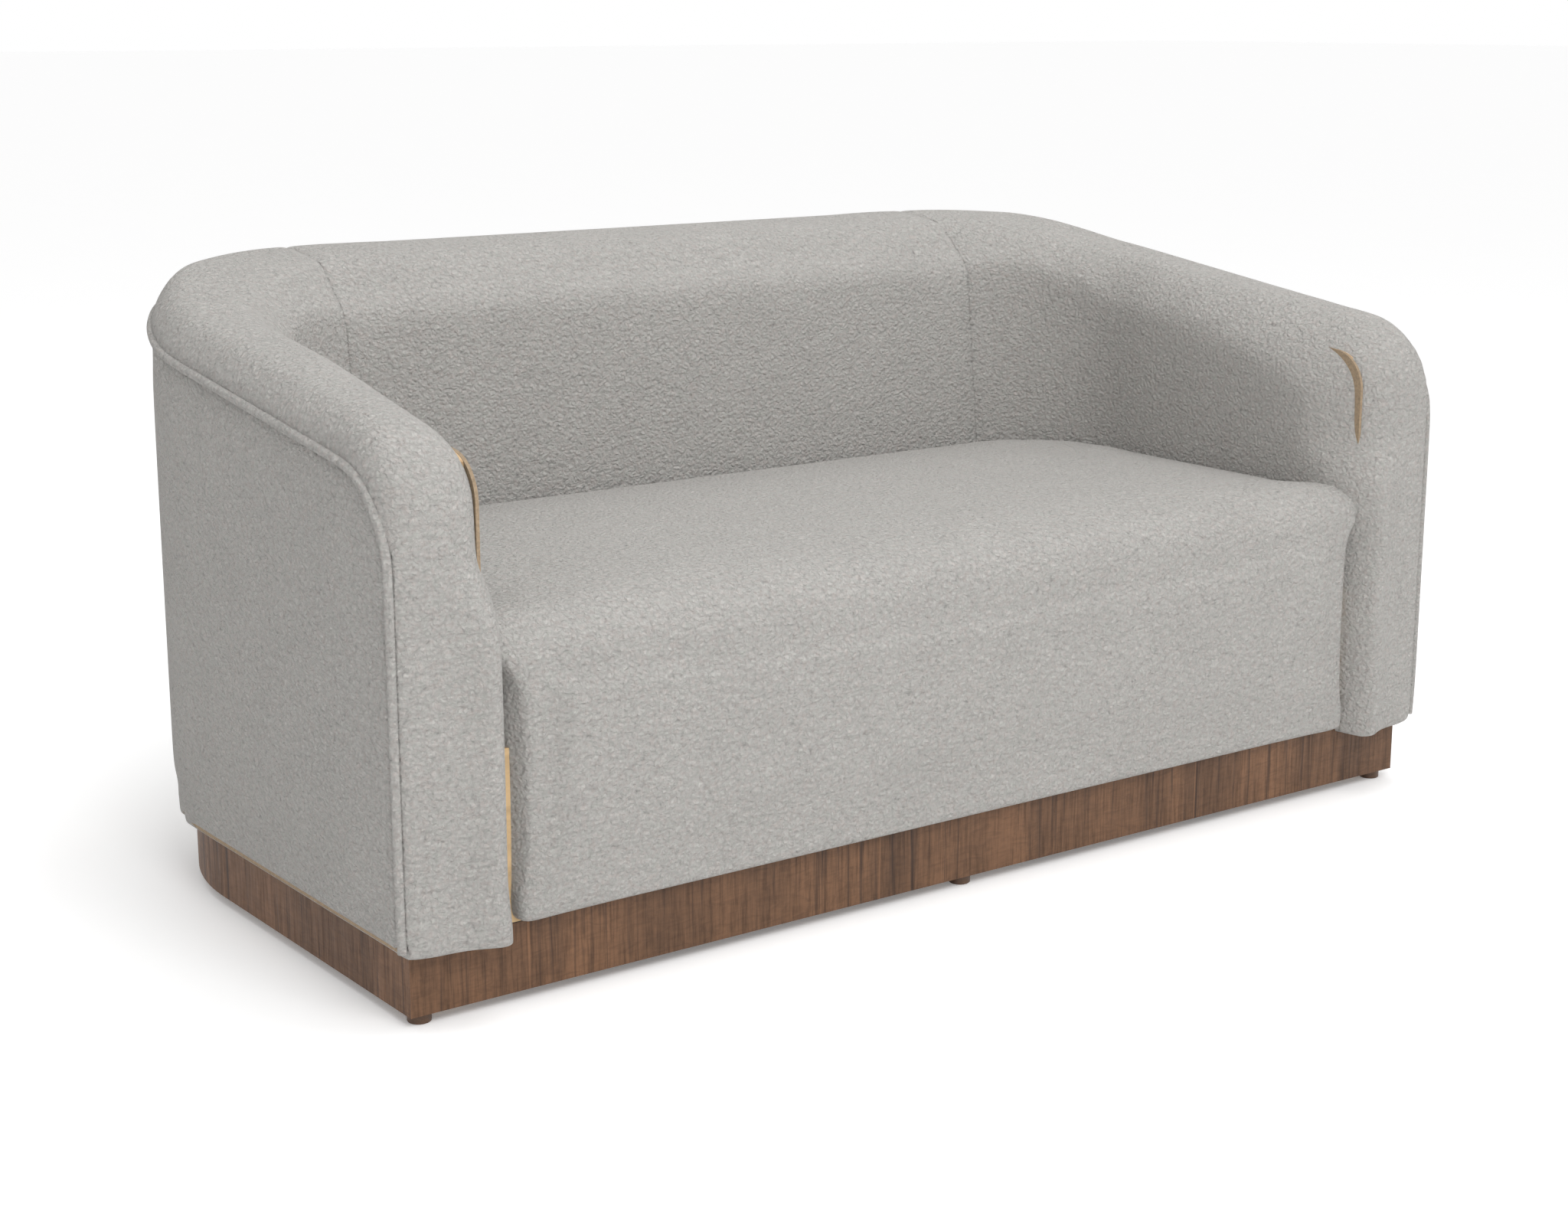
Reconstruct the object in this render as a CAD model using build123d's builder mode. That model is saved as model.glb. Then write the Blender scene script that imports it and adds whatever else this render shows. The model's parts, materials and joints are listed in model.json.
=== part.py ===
"""Tight-seat upholstered settee on a wooden plinth.

Frame: origin on the floor, in the middle of the footprint. +X runs to the right as seen from
the front, the front faces -Y, and +Z is up. Everything is in millimetres. Left and right are
as seen from the front.
"""
from build123d import *
import os
from math import radians, sin, sqrt, tan

# ---------------------------------------------------------------- driving dimensions
# plinth, glides and braces
plinth_length = 1500
plinth_depth = 795
plinth_height = 77
plinth_board = 27
plinth_corner_radius = 335   # outer radius of the bent rear corners
brace_width = 70
brace_thickness = 25
glue_block_leg = 50
glue_block_gap = 2           # the blocks stop short of the plinth's top and bottom
glide_diameter = 26
glide_height = 13
glide_inset = 20             # from the plinth's outer faces to a glide's centre
glide_edge_round = 2
nail_diameter = 4
nail_depth = 22              # nail length inside the plinth
nail_head_diameter = 9
nail_head_height = 2
nail_recess = 4              # depth of the recess that takes the nail's head

# outer size of the upholstered body
side_overhang = 21           # piping beyond the plinth's ends
back_overhang = 25           # piping beyond the plinth's back
arm_front_overhang = 48      # arm fronts beyond the plinth's front
seat_front_overhang = 25     # seat front beyond the plinth's front
arm_thickness = 145
arm_front_height = 624       # where the line of the arm's top meets the line of its front
arm_slope = 7.6              # degrees, rising to the back
corner_slope = 13.5          # degrees, the steeper rise round the rear corners
corner_rise = 39             # height gained on that steeper stretch
back_height = 741
seat_height = 420
seat_depth = 593             # seat front to the inside back, at seat height
back_rake = 6                # degrees
inside_corner_radius = 165
seat_edge_round = 50         # front edge of the seat
arm_nose_round = 100         # arm's top into the arm's front, seen from the side
rise_round = 900             # start of the steeper stretch
crest_round = 600            # end of the steeper stretch
outer_round = 35             # outer edges of the arms and back
inner_round = 80             # inner edges of the arms and back
fabric = 3
seat_clearance = 0.5         # seat cover to the arm and back covers

# piped seam round the outside
seam_drop = 55               # seam below the arm's top line
seam_setback = 36            # seam behind the arm's front
seam_nose_round = 100
piping = 8
piping_proud = 2             # piping beyond the outside covers
seam_from_corner = 34        # upright seam, measured from the start of the inside corner

# padding and panels
inside_foam = 26
crown_foam = 45
arm_front_foam = 47
panel_setin = 22             # arm front panels inside the arms' other plywood, for the round edge
seat_front_foam = 22
outer_board = 3
inside_panel = 4
webbing_width = 50
webbing_thickness = 1.5
webbing_count = 7

# wooden frame
dust_cover = 1
dust_cover_inset = 8
rib = 22                     # plywood of the ribs and uprights
seat_rail_thickness = 25
seat_rail_top = 281          # top of the rails that carry the springs
centre_rail_height = 120
corner_block_leg = 70
corner_block_height = 70
frame_screw_diameter = 5
frame_screw_head = 10
frame_screw_head_height = 3
frame_screw_grip = 20        # screw length inside the seat frame
frame_screw_inset = 23       # front screws behind the front rail
screw_clearance = 0.25

# springs
spring_count = 10
spring_spacing = 96
spring_wire = 3.8
spring_width = 50
spring_pitch = 22            # from one cross run of the wire to the next
spring_bend = 10.5
clip_width = 24
clip_length = 18
clip_thickness = 1.5
clip_gap = 0.3
tie_wire = 3
tie_wire_count = 2
tie_gap = 0.2                # wires and cloth lie this far apart
platform_cloth = 1.5

# ---------------------------------------------------------------- derived places
body_bottom = glide_height + plinth_height
frame_bottom = body_bottom + dust_cover
half_plinth = plinth_length / 2
half_width = half_plinth + side_overhang - piping_proud
overall_depth = arm_front_overhang + plinth_depth + back_overhang
front_y = -overall_depth / 2
back_y = overall_depth / 2 - piping_proud
plinth_front = front_y + arm_front_overhang
plinth_back = plinth_front + plinth_depth
seat_front = plinth_front - seat_front_overhang
outer_radius = plinth_corner_radius + side_overhang - piping_proud
inner_half = half_width - arm_thickness
inside_back = seat_front + seat_depth
seam_x = inner_half - inside_corner_radius + seam_from_corner
arm_rear = back_y - outer_radius
back_lean = tan(radians(back_rake))
beyond = plinth_length + plinth_depth
clear_above = back_height + seat_height

frame_out = fabric + outer_board
frame_in = fabric + inside_foam + inside_panel
frame_down = fabric + crown_foam
frame_front = fabric + arm_front_foam
frame_half = inner_half + frame_in
panel_front = front_y + frame_front
panel_back = panel_front + rib
front_rail_front = seat_front + fabric + seat_front_foam
front_rail_back = front_rail_front + seat_rail_thickness
back_rail_back = (
    inside_back + (seat_rail_top - seat_height) * back_lean - seat_clearance - fabric
)
back_rail_front = back_rail_back - seat_rail_thickness
cover_foot = seat_rail_top + clip_gap
spring_height = seat_rail_top + clip_thickness + clip_gap + spring_wire / 2
clip_height = 2 * clip_thickness + 2 * clip_gap + spring_wire
cloth_bottom = spring_height + spring_wire / 2 + tie_wire + 2 * tie_gap
foam_bottom = cloth_bottom + platform_cloth

brace_x = frame_half - frame_screw_inset
front_screw_y = front_rail_back + frame_screw_inset
corner_screw_y = arm_rear + outer_radius / 3
back_screw_y = (inside_back + frame_in + back_y) / 2
frame_screws = [(side * brace_x, y) for side in (-1, 1) for y in (front_screw_y, corner_screw_y)]
frame_screws += [(0, front_screw_y), (0, back_screw_y)]

corner_reach = (plinth_corner_radius - glide_inset) * sin(radians(45)) - plinth_corner_radius
glides = [(x, plinth_front + glide_inset) for x in (glide_inset - half_plinth, 0, half_plinth - glide_inset)]
glides += [(side * (half_plinth + corner_reach), plinth_back + corner_reach) for side in (-1, 1)]
glides += [(0, plinth_back - glide_inset)]

sides = (("left", -1), ("right", 1))
os.makedirs("parts", exist_ok=True)


# ---------------------------------------------------------------- helpers
def finish(piece, label):
    """Name a finished piece and write it."""
    piece.part.label = label
    export_step(piece.part, f"parts/{label}.step")


def use_box(x, y, z, mode=Mode.INTERSECT):
    """Keep, cut or add the box between two values on each axis."""
    with Locations((sum(x) / 2, sum(y) / 2, sum(z) / 2)):
        Box(abs(x[1] - x[0]), abs(y[1] - y[0]), abs(z[1] - z[0]), mode=mode)


def beside(sign, near, far=beyond):
    """The X values of a stretch on one side, from near the middle to far from it."""
    return (sign * near, sign * far)


def rounded_back_outline(half, front, back, radius):
    """A flat outline with square front corners and round rear corners."""
    with BuildSketch(mode=Mode.PRIVATE) as outline:
        with BuildLine():
            left = Line((-half, front), (-half, back - radius))
            left_turn = RadiusArc(left @ 1, (-half + radius, back), radius)
            rear = Line(left_turn @ 1, (half - radius, back))
            right_turn = RadiusArc(rear @ 1, (half, back - radius), radius)
            right = Line(right_turn @ 1, (half, front))
            Line(right @ 1, left @ 0)
        make_face()
    return outline.sketch


def plinth_outline(inset, front=plinth_front):
    """The plinth's plan, taken in by inset at the sides and back."""
    return rounded_back_outline(
        half_plinth - inset, front, plinth_back - inset, plinth_corner_radius - inset
    )


def body_outline(inset, front=front_y):
    """The upholstered body's plan, taken in by inset at the sides and back."""
    return rounded_back_outline(half_width - inset, front, back_y - inset, outer_radius - inset)


def side_profile(down, behind, nose_radius):
    """A solid across the whole width with the body's side view, lowered and set back."""
    rise = tan(radians(arm_slope))
    nose = (front_y + behind, arm_front_height + rise * behind - down)
    foot = (
        front_y + (back_height - corner_rise - arm_front_height) / rise,
        back_height - corner_rise - down,
    )
    crest = (foot[0] + corner_rise / tan(radians(corner_slope)), back_height - down)
    rear = max(crest[0], back_y) + inside_corner_radius
    with BuildPart(mode=Mode.PRIVATE) as profile:
        with BuildSketch(Plane.YZ):
            with BuildLine():
                top = FilletPolyline(
                    (nose[0], body_bottom), nose, foot, crest, (rear, crest[1]),
                    radius=[nose_radius, rise_round, crest_round],
                )
                Polyline(top @ 1, (rear, body_bottom), top @ 0)
            make_face()
        extrude(amount=beyond, both=True)
    return profile.part


def sitting_space(grow):
    """The space between the arms, from the body's bottom to above its top, grown by grow."""
    levels = []
    for height in (body_bottom, clear_above):
        space_back = inside_back + (height - seat_height) * back_lean + grow
        with BuildSketch(Plane.XY.offset(height), mode=Mode.PRIVATE) as level:
            add(rounded_back_outline(
                inner_half + grow, front_y - arm_thickness, space_back, inside_corner_radius + grow
            ))
        levels.append(level.sketch)
    with BuildPart(mode=Mode.PRIVATE) as space:
        loft(levels, ruled=True)
    return space.part


def on_outer_wall(point, inset):
    """Whether a point lies on the body's outer wall, taken in by inset."""
    half, back, radius = half_width - inset, back_y - inset, outer_radius - inset
    x = abs(point.X)
    if x > half - radius and point.Y > back - radius:
        reach = sqrt((x - half + radius) ** 2 + (point.Y - back + radius) ** 2)
        return abs(reach - radius) < 0.5
    return abs(x - half) < 0.5 or abs(point.Y - back) < 0.5


def on_inner_wall(point, grow):
    """Whether a point lies on the wall of the sitting space, grown by grow."""
    half, radius = inner_half + grow, inside_corner_radius + grow
    back = inside_back + (point.Z - seat_height) * back_lean + grow
    x = abs(point.X)
    if x > half - radius and point.Y > back - radius:
        reach = sqrt((x - half + radius) ** 2 + (point.Y - back + radius) ** 2)
        return abs(reach - radius) < 0.5
    return abs(x - half) < 0.5 or abs(point.Y - back) < 0.5


def rim_edges(part, on_wall):
    """A wall's edges along the top and up the arm fronts, without the lines down its turns."""
    chosen = []
    for edge in part.edges():
        box = edge.bounding_box()
        upright = box.size.Z > 0.9 * edge.length
        at_front = box.max.Y < front_y + outer_round
        if box.max.Z > body_bottom + 1 and (at_front or not upright):
            if all(on_wall(edge @ share) for share in (0, 0.5, 1)):
                chosen.append(edge)
    return chosen


def tub(outer, inner, down, behind, rounded=True):
    """The arms and back as one U-shaped solid, taken in by outer at the outside, by inner at
    the inside walls, by down at the top and by behind at the arm fronts."""
    with BuildPart(mode=Mode.PRIVATE) as body:
        with BuildSketch(Plane.XY.offset(body_bottom)):
            add(body_outline(outer, front_y + behind))
        extrude(amount=clear_above - body_bottom)
        add(side_profile(down, behind, arm_nose_round - min(down, behind)), mode=Mode.INTERSECT)
        add(sitting_space(inner), mode=Mode.SUBTRACT)
        if rounded:
            fillet(rim_edges(body.part, lambda point: on_outer_wall(point, outer)), outer_round - outer)
            fillet(rim_edges(body.part, lambda point: on_inner_wall(point, inner)), inner_round - inner)
    return body.part


def outer_band(start, depth, bottom):
    """A wall that follows the body's outside, start inside it, open at the front."""
    with BuildPart(mode=Mode.PRIVATE) as band:
        with BuildSketch(Plane.XY.offset(bottom)):
            add(body_outline(start))
        extrude(amount=clear_above)
        with BuildSketch(Plane.XY.offset(bottom)):
            add(body_outline(start + depth))
        extrude(amount=clear_above, mode=Mode.SUBTRACT)
    return band.part


def seat_body(inset):
    """The seat between the arms down to the body's bottom, taken in by inset."""
    with BuildPart(mode=Mode.PRIVATE) as seat:
        add(sitting_space(-seat_clearance - inset))
        use_box((-beyond, beyond), (seat_front + inset, beyond), (0, seat_height - inset))
        front_edge = seat.edges().filter_by(Axis.X).group_by(Axis.Z)[-1].sort_by(Axis.Y)[0]
        fillet(front_edge, seat_edge_round - inset)
    return seat.part


cover_outside = tub(0, 0, 0, 0)
cover_inside = tub(fabric, fabric, fabric, fabric)
core = tub(frame_out, frame_in, frame_down, frame_front, rounded=False)
below_cap = side_profile(frame_down + rib, frame_front, arm_nose_round - frame_front)
above_seam = side_profile(
    seam_drop - piping / 2, seam_setback - piping / 2, seam_nose_round + piping / 2
)
below_seam = side_profile(
    seam_drop + piping / 2, seam_setback + piping / 2, seam_nose_round - piping / 2
)


# ---------------------------------------------------------------- plinth
def plinth_boards():
    """Front board with mitred ends, two sides, two bent rear corners and the back board."""
    tip = plinth_board
    corner_front = plinth_back - plinth_corner_radius
    corner_near = half_plinth - plinth_corner_radius
    with BuildPart(mode=Mode.PRIVATE) as ring:
        with BuildSketch(Plane.XY.offset(glide_height)):
            add(plinth_outline(0))
        extrude(amount=plinth_height)
        with BuildSketch(Plane.XY.offset(glide_height)):
            add(plinth_outline(plinth_board, plinth_front + plinth_board))
        extrude(amount=plinth_height, mode=Mode.SUBTRACT)
        with Locations(*[(x, y, glide_height) for x, y in glides]):
            Cylinder(
                nail_diameter / 2, nail_depth, mode=Mode.SUBTRACT,
                align=(Align.CENTER, Align.CENTER, Align.MIN),
            )
    with BuildPart(mode=Mode.PRIVATE) as mitre:
        with BuildSketch(Plane.XY):
            with BuildLine():
                Polyline(
                    (-half_plinth, plinth_front), (half_plinth, plinth_front),
                    (half_plinth - tip, plinth_front + tip), (-half_plinth + tip, plinth_front + tip),
                    close=True,
                )
            make_face()
        extrude(amount=body_bottom)
    with BuildPart() as front_board:
        add(ring.part)
        add(mitre.part, mode=Mode.INTERSECT)
    finish(front_board, "plinth_front_board")
    with BuildPart() as back_board:
        add(ring.part)
        use_box((-corner_near, corner_near), (corner_front, beyond), (0, body_bottom))
    finish(back_board, "plinth_back_board")
    for side, sign in sides:
        with BuildPart() as side_board:
            add(ring.part)
            add(mitre.part, mode=Mode.SUBTRACT)
            use_box(beside(sign, 0), (-beyond, corner_front), (0, body_bottom))
        finish(side_board, f"plinth_{side}_board")
        with BuildPart() as corner:
            add(ring.part)
            use_box(beside(sign, corner_near), (corner_front, beyond), (0, body_bottom))
        finish(corner, f"plinth_{side}_corner")


def plinth_fittings():
    """Glue blocks, cross braces, glides, their nails and the screws up into the seat frame."""
    with BuildPart() as glue_blocks:
        with BuildSketch(Plane.XY.offset(glide_height + glue_block_gap)):
            for sign in (-1, 1):
                x = sign * (half_plinth - plinth_board)
                y = plinth_front + plinth_board
                with BuildLine():
                    Polyline((x, y), (x - sign * glue_block_leg, y), (x, y + glue_block_leg), close=True)
                make_face()
        extrude(amount=plinth_height - 2 * glue_block_gap)
    finish(glue_blocks, "plinth_glue_blocks")

    brace_bottom = body_bottom - brace_thickness
    with BuildPart() as braces:
        with BuildSketch(Plane.XY.offset(brace_bottom)):
            add(plinth_outline(plinth_board, plinth_front + plinth_board))
            with Locations((-brace_x, 0), (0, 0), (brace_x, 0)):
                Rectangle(brace_width, 2 * overall_depth, mode=Mode.INTERSECT)
        extrude(amount=brace_thickness)
        with Locations(*[(x, y, brace_bottom) for x, y in frame_screws]):
            Cylinder(
                frame_screw_head / 2 + screw_clearance, frame_screw_head_height, mode=Mode.SUBTRACT,
                align=(Align.CENTER, Align.CENTER, Align.MIN),
            )
            Cylinder(frame_screw_diameter / 2 + screw_clearance, 3 * brace_thickness, mode=Mode.SUBTRACT)
    finish(braces, "plinth_braces")

    with BuildPart() as screws:
        with Locations(*[(x, y, brace_bottom) for x, y in frame_screws]):
            Cylinder(
                frame_screw_head / 2, frame_screw_head_height,
                align=(Align.CENTER, Align.CENTER, Align.MIN),
            )
            Cylinder(
                frame_screw_diameter / 2, brace_thickness + dust_cover + frame_screw_grip,
                align=(Align.CENTER, Align.CENTER, Align.MIN),
            )
    finish(screws, "frame_screws")

    with BuildPart() as discs:
        with Locations(*glides):
            Cylinder(glide_diameter / 2, glide_height, align=(Align.CENTER, Align.CENTER, Align.MIN))
        fillet(discs.edges().group_by(Axis.Z)[0], glide_edge_round)
        with Locations(*glides):
            Cylinder(
                nail_head_diameter / 2, nail_recess, mode=Mode.SUBTRACT,
                align=(Align.CENTER, Align.CENTER, Align.MIN),
            )
            Cylinder(nail_diameter / 2, 3 * glide_height, mode=Mode.SUBTRACT)
    finish(discs, "floor_glides")

    with BuildPart() as nails:
        with Locations(*[(x, y, nail_recess) for x, y in glides]):
            Cylinder(
                nail_head_diameter / 2, nail_head_height,
                align=(Align.CENTER, Align.CENTER, Align.MAX),
            )
            Cylinder(
                nail_diameter / 2, glide_height - nail_recess + nail_depth,
                align=(Align.CENTER, Align.CENTER, Align.MIN),
            )
    finish(nails, "glide_nails")


# ---------------------------------------------------------------- wooden frame
def drill_frame_screws(diameter):
    """Holes for the frame screws, up to their tips."""
    with Locations(*[(x, y, body_bottom) for x, y in frame_screws]):
        Cylinder(
            diameter / 2, dust_cover + frame_screw_grip, mode=Mode.SUBTRACT,
            align=(Align.CENTER, Align.CENTER, Align.MIN),
        )


def frame_piece(label, x, y, z, drilled=False):
    """The part of the core between two values on each axis, under the top ribs."""
    with BuildPart() as piece:
        add(core)
        add(below_cap, mode=Mode.INTERSECT)
        use_box(x, y, z)
        if drilled:
            drill_frame_screws(frame_screw_diameter)
    finish(piece, label)


def top_rib(label, x, y):
    """The uppermost layer of the core between two values on X and Y."""
    with BuildPart() as piece:
        add(core)
        add(below_cap, mode=Mode.SUBTRACT)
        use_box(x, y, (0, clear_above))
    finish(piece, label)


def arm_and_back_frame():
    """Plywood ribs at three levels, uprights between them and the arms' front panels."""
    base = (frame_bottom, frame_bottom + rib)
    middle = (seat_rail_top, seat_rail_top + rib)
    upright = (frame_bottom + rib, clear_above)
    arm = (panel_back, arm_rear - rib)
    corner = (arm_rear, beyond)
    for side, sign in sides:
        whole = beside(sign, 0)
        outer = beside(sign, seam_x)
        panel_width = beside(sign, frame_half + panel_setin)
        with BuildPart() as front_panel:
            add(core)
            use_box(panel_width, (panel_front, panel_back), (frame_bottom, clear_above))
        finish(front_panel, f"{side}_arm_front_panel")
        frame_piece(f"{side}_base_rib", outer, (panel_back, beyond), base, drilled=True)
        frame_piece(f"{side}_arm_upright", whole, (arm_rear - rib, arm_rear), upright)
        frame_piece(f"{side}_arm_middle_rib", whole, arm, middle)
        frame_piece(f"{side}_corner_middle_rib", outer, corner, middle)
        top_rib(f"{side}_top_rib", outer, (panel_back, beyond))
        frame_piece(f"back_{side}_upright", beside(sign, seam_x - rib, seam_x), corner, upright)
    top_rib("back_top_rib", (-seam_x, seam_x), corner)
    frame_piece("back_middle_rib", (rib - seam_x, seam_x - rib), corner, middle)
    with BuildPart() as back_base:
        with BuildSketch(Plane.XY.offset(frame_bottom)):
            add(body_outline(frame_out))
        extrude(amount=rib)
        use_box((-seam_x, seam_x), (back_rail_front, beyond), base)
        drill_frame_screws(frame_screw_diameter)
    finish(back_base, "back_base_rib")


def inside_backing():
    """Bent panels behind the arm foam, and straps behind the back foam."""
    for side, sign in sides:
        with BuildPart() as panel:
            add(sitting_space(frame_in))
            add(sitting_space(frame_in - inside_panel), mode=Mode.SUBTRACT)
            add(side_profile(frame_down, frame_front, arm_nose_round - frame_front), mode=Mode.INTERSECT)
            use_box(beside(sign, seam_x), (panel_front, beyond), (seat_rail_top, clear_above))
        finish(panel, f"{side}_inside_panel")
    strap_step = 2 * (seam_x - rib) / webbing_count
    first = -strap_step * (webbing_count - 1) / 2
    with BuildPart() as straps:
        add(sitting_space(frame_in))
        add(sitting_space(frame_in - webbing_thickness), mode=Mode.SUBTRACT)
        add(side_profile(frame_down, frame_front, arm_nose_round - frame_front), mode=Mode.INTERSECT)
        with Locations(*[(first + i * strap_step, back_y, clear_above / 2) for i in range(webbing_count)]):
            Box(webbing_width, 2 * (back_y - arm_rear), clear_above, mode=Mode.INTERSECT)
        use_box((-beyond, beyond), (arm_rear, beyond), (seat_rail_top, clear_above))
    finish(straps, "back_webbing")


def seat_frame():
    """Rails that carry the springs, the centre rail and the corner blocks."""
    rail_height = (frame_bottom, seat_rail_top)
    with BuildPart() as front_rail:
        use_box((-frame_half, frame_half), (front_rail_front, front_rail_back), rail_height, Mode.ADD)
    finish(front_rail, "seat_front_rail")
    with BuildPart() as back_rail:
        use_box(
            (-seam_x, seam_x), (back_rail_front, back_rail_back),
            (frame_bottom + rib, seat_rail_top), Mode.ADD,
        )
    finish(back_rail, "seat_back_rail")
    for side, sign in sides:
        with BuildPart() as side_rail:
            use_box(
                beside(sign, frame_half, frame_half + seat_rail_thickness),
                (panel_back, arm_rear - rib), (frame_bottom + rib, seat_rail_top), Mode.ADD,
            )
            add(core, mode=Mode.INTERSECT)
        finish(side_rail, f"seat_{side}_rail")
    with BuildPart() as centre_rail:
        use_box(
            (-seat_rail_thickness / 2, seat_rail_thickness / 2), (front_rail_back, back_rail_front),
            (frame_bottom, frame_bottom + centre_rail_height), Mode.ADD,
        )
        drill_frame_screws(frame_screw_diameter)
    finish(centre_rail, "seat_centre_rail")
    with BuildPart() as corner_blocks:
        with BuildSketch(Plane.XY.offset(frame_bottom)):
            for sign in (-1, 1):
                x = sign * frame_half
                with BuildLine():
                    Polyline(
                        (x, front_rail_back), (x - sign * corner_block_leg, front_rail_back),
                        (x, front_rail_back + corner_block_leg), close=True,
                    )
                make_face()
        extrude(amount=corner_block_height)
        drill_frame_screws(frame_screw_diameter)
    finish(corner_blocks, "seat_corner_blocks")
    with BuildPart() as cover:
        with BuildSketch(Plane.XY.offset(body_bottom)):
            add(body_outline(dust_cover_inset, front_rail_front))
        extrude(amount=dust_cover)
        drill_frame_screws(frame_screw_diameter + 2 * screw_clearance)
    finish(cover, "dust_cover")


# ---------------------------------------------------------------- springs
def spring_places():
    """The X place of each spring."""
    first = -spring_spacing * (spring_count - 1) / 2
    return [first + i * spring_spacing for i in range(spring_count)]


def springs():
    """Sinuous springs from front rail to back rail, their clips, tie wires and the cloth."""
    start = front_rail_front + seat_rail_thickness / 2
    end = back_rail_back - seat_rail_thickness / 2
    runs = int((end - start) / spring_pitch)
    pitch = (end - start) / runs
    route = []
    for i in range(runs + 1):
        reach = spring_width / 2 * (-1) ** i
        route += [(-reach, start + i * pitch), (reach, start + i * pitch)]
    with BuildPart(mode=Mode.PRIVATE) as one_spring:
        with BuildLine(Plane.XY.offset(spring_height)) as path:
            FilletPolyline(*route, radius=spring_bend)
        with BuildSketch(Plane(path.line @ 0, z_dir=path.line % 0)):
            Circle(spring_wire / 2)
        sweep()
    with BuildPart() as spring_set:
        with Locations(*[(x, 0) for x in spring_places()]):
            add(one_spring.part)
    finish(spring_set, "seat_springs")

    with BuildPart(mode=Mode.PRIVATE) as one_clip:
        hook = clip_thickness + clip_gap + spring_wire / 2
        with BuildSketch(Plane.YZ.offset(-clip_width / 2)):
            with Locations((start, seat_rail_top)):
                Rectangle(clip_length, clip_height, align=(Align.CENTER, Align.MIN))
            with Locations((start, seat_rail_top + clip_thickness)):
                Rectangle(
                    clip_length - clip_thickness, clip_height - 2 * clip_thickness,
                    align=(Align.CENTER, Align.MIN), mode=Mode.SUBTRACT,
                )
            with Locations((start + clip_length / 2, seat_rail_top)):
                Rectangle(hook, clip_height, align=(Align.MAX, Align.MIN), mode=Mode.SUBTRACT)
        extrude(amount=clip_width)
    with BuildPart() as clips:
        with Locations(*[(x, 0) for x in spring_places()]):
            add(one_clip.part)
        mirror(about=Plane.XZ.offset(-(start + end) / 2))
    finish(clips, "spring_clips")

    tie_step = (end - start) / (tie_wire_count + 1)
    tie_height = spring_height + (spring_wire + tie_wire) / 2 + tie_gap
    tie_length = spring_spacing * (spring_count - 1) + spring_width
    with BuildPart() as ties:
        with Locations(*[(0, start + (i + 1) * tie_step, tie_height) for i in range(tie_wire_count)]):
            Cylinder(tie_wire / 2, tie_length, rotation=(0, 90, 0))
    finish(ties, "spring_tie_wires")

    with BuildPart() as cloth:
        add(seat_body(fabric))
        use_box((-beyond, beyond), (front_rail_front, beyond), (cloth_bottom, foam_bottom))
    finish(cloth, "platform_cloth")


# ---------------------------------------------------------------- padding and covers
def cut_below_seat():
    """Take away what would lie below the seat deck, behind the front of the front rail."""
    use_box((-beyond, beyond), (front_rail_front, beyond), (0, cover_foot), Mode.SUBTRACT)


def seat_padding():
    """Seat foam, front foam and the one-piece seat cover."""
    padding = seat_body(fabric)
    with BuildPart() as seat_foam:
        add(padding)
        use_box((-beyond, beyond), (-beyond, beyond), (foam_bottom, seat_height))
    finish(seat_foam, "seat_foam")
    with BuildPart() as front_foam:
        add(padding)
        use_box((-beyond, beyond), (-beyond, front_rail_front), (frame_bottom, foam_bottom))
    finish(front_foam, "seat_front_foam")
    with BuildPart() as seat_cover:
        add(seat_body(0))
        add(padding, mode=Mode.SUBTRACT)
        cut_below_seat()
    finish(seat_cover, "seat_cover")


def arm_and_back_padding():
    """Foam over the inside, the top and the arm fronts, clear of the piping and the boards."""
    outside_zone = outer_band(-piping, piping + frame_out, body_bottom) & above_seam
    zones = [(f"{side}_arm_foam", beside(sign, seam_x), inside_panel) for side, sign in sides]
    zones += [("back_foam", (-seam_x, seam_x), webbing_thickness)]
    for label, x, backing in zones:
        with BuildPart(mode=Mode.PRIVATE) as behind_foam:
            add(side_profile(frame_down, frame_front, arm_nose_round - frame_front))
            add(sitting_space(frame_in - backing), mode=Mode.SUBTRACT)
        with BuildPart() as foam:
            add(cover_inside)
            add(behind_foam.part, mode=Mode.SUBTRACT)
            add(outside_zone, mode=Mode.SUBTRACT)
            cut_below_seat()
            use_box(x, (-beyond, beyond), (frame_bottom, clear_above))
        finish(foam, label)


def covers():
    """Inside covers over the foam, outside boards and covers, and the piping between them."""
    outside_zone = outer_band(-piping, 2 * piping + fabric, body_bottom)
    with BuildPart(mode=Mode.PRIVATE) as inside_covers:
        add(cover_outside)
        add(cover_inside, mode=Mode.SUBTRACT)
        add(outside_zone & above_seam, mode=Mode.SUBTRACT)
        cut_below_seat()
    zones = [(side, beside(sign, seam_x)) for side, sign in sides]
    for side, x in zones + [("back", (-seam_x, seam_x))]:
        with BuildPart() as inside_cover:
            add(inside_covers.part)
            use_box(x, (-beyond, beyond), (0, clear_above))
        finish(inside_cover, "inside_back_cover" if side == "back" else f"{side}_arm_cover")
        for label, start, depth, bottom in (
            (f"{side}_outside_cover", 0, fabric, body_bottom),
            (f"{side}_outside_board", fabric, outer_board, frame_bottom),
        ):
            with BuildPart() as outside:
                add(outer_band(start, depth, bottom))
                add(below_seam, mode=Mode.INTERSECT)
                use_box(x, (-beyond, beyond), (0, clear_above))
            finish(outside, label)
    with BuildPart() as piped_seam:
        add(outer_band(-piping_proud, piping, body_bottom))
        add(above_seam, mode=Mode.INTERSECT)
        add(below_seam, mode=Mode.SUBTRACT)
    finish(piped_seam, "piping")


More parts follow.
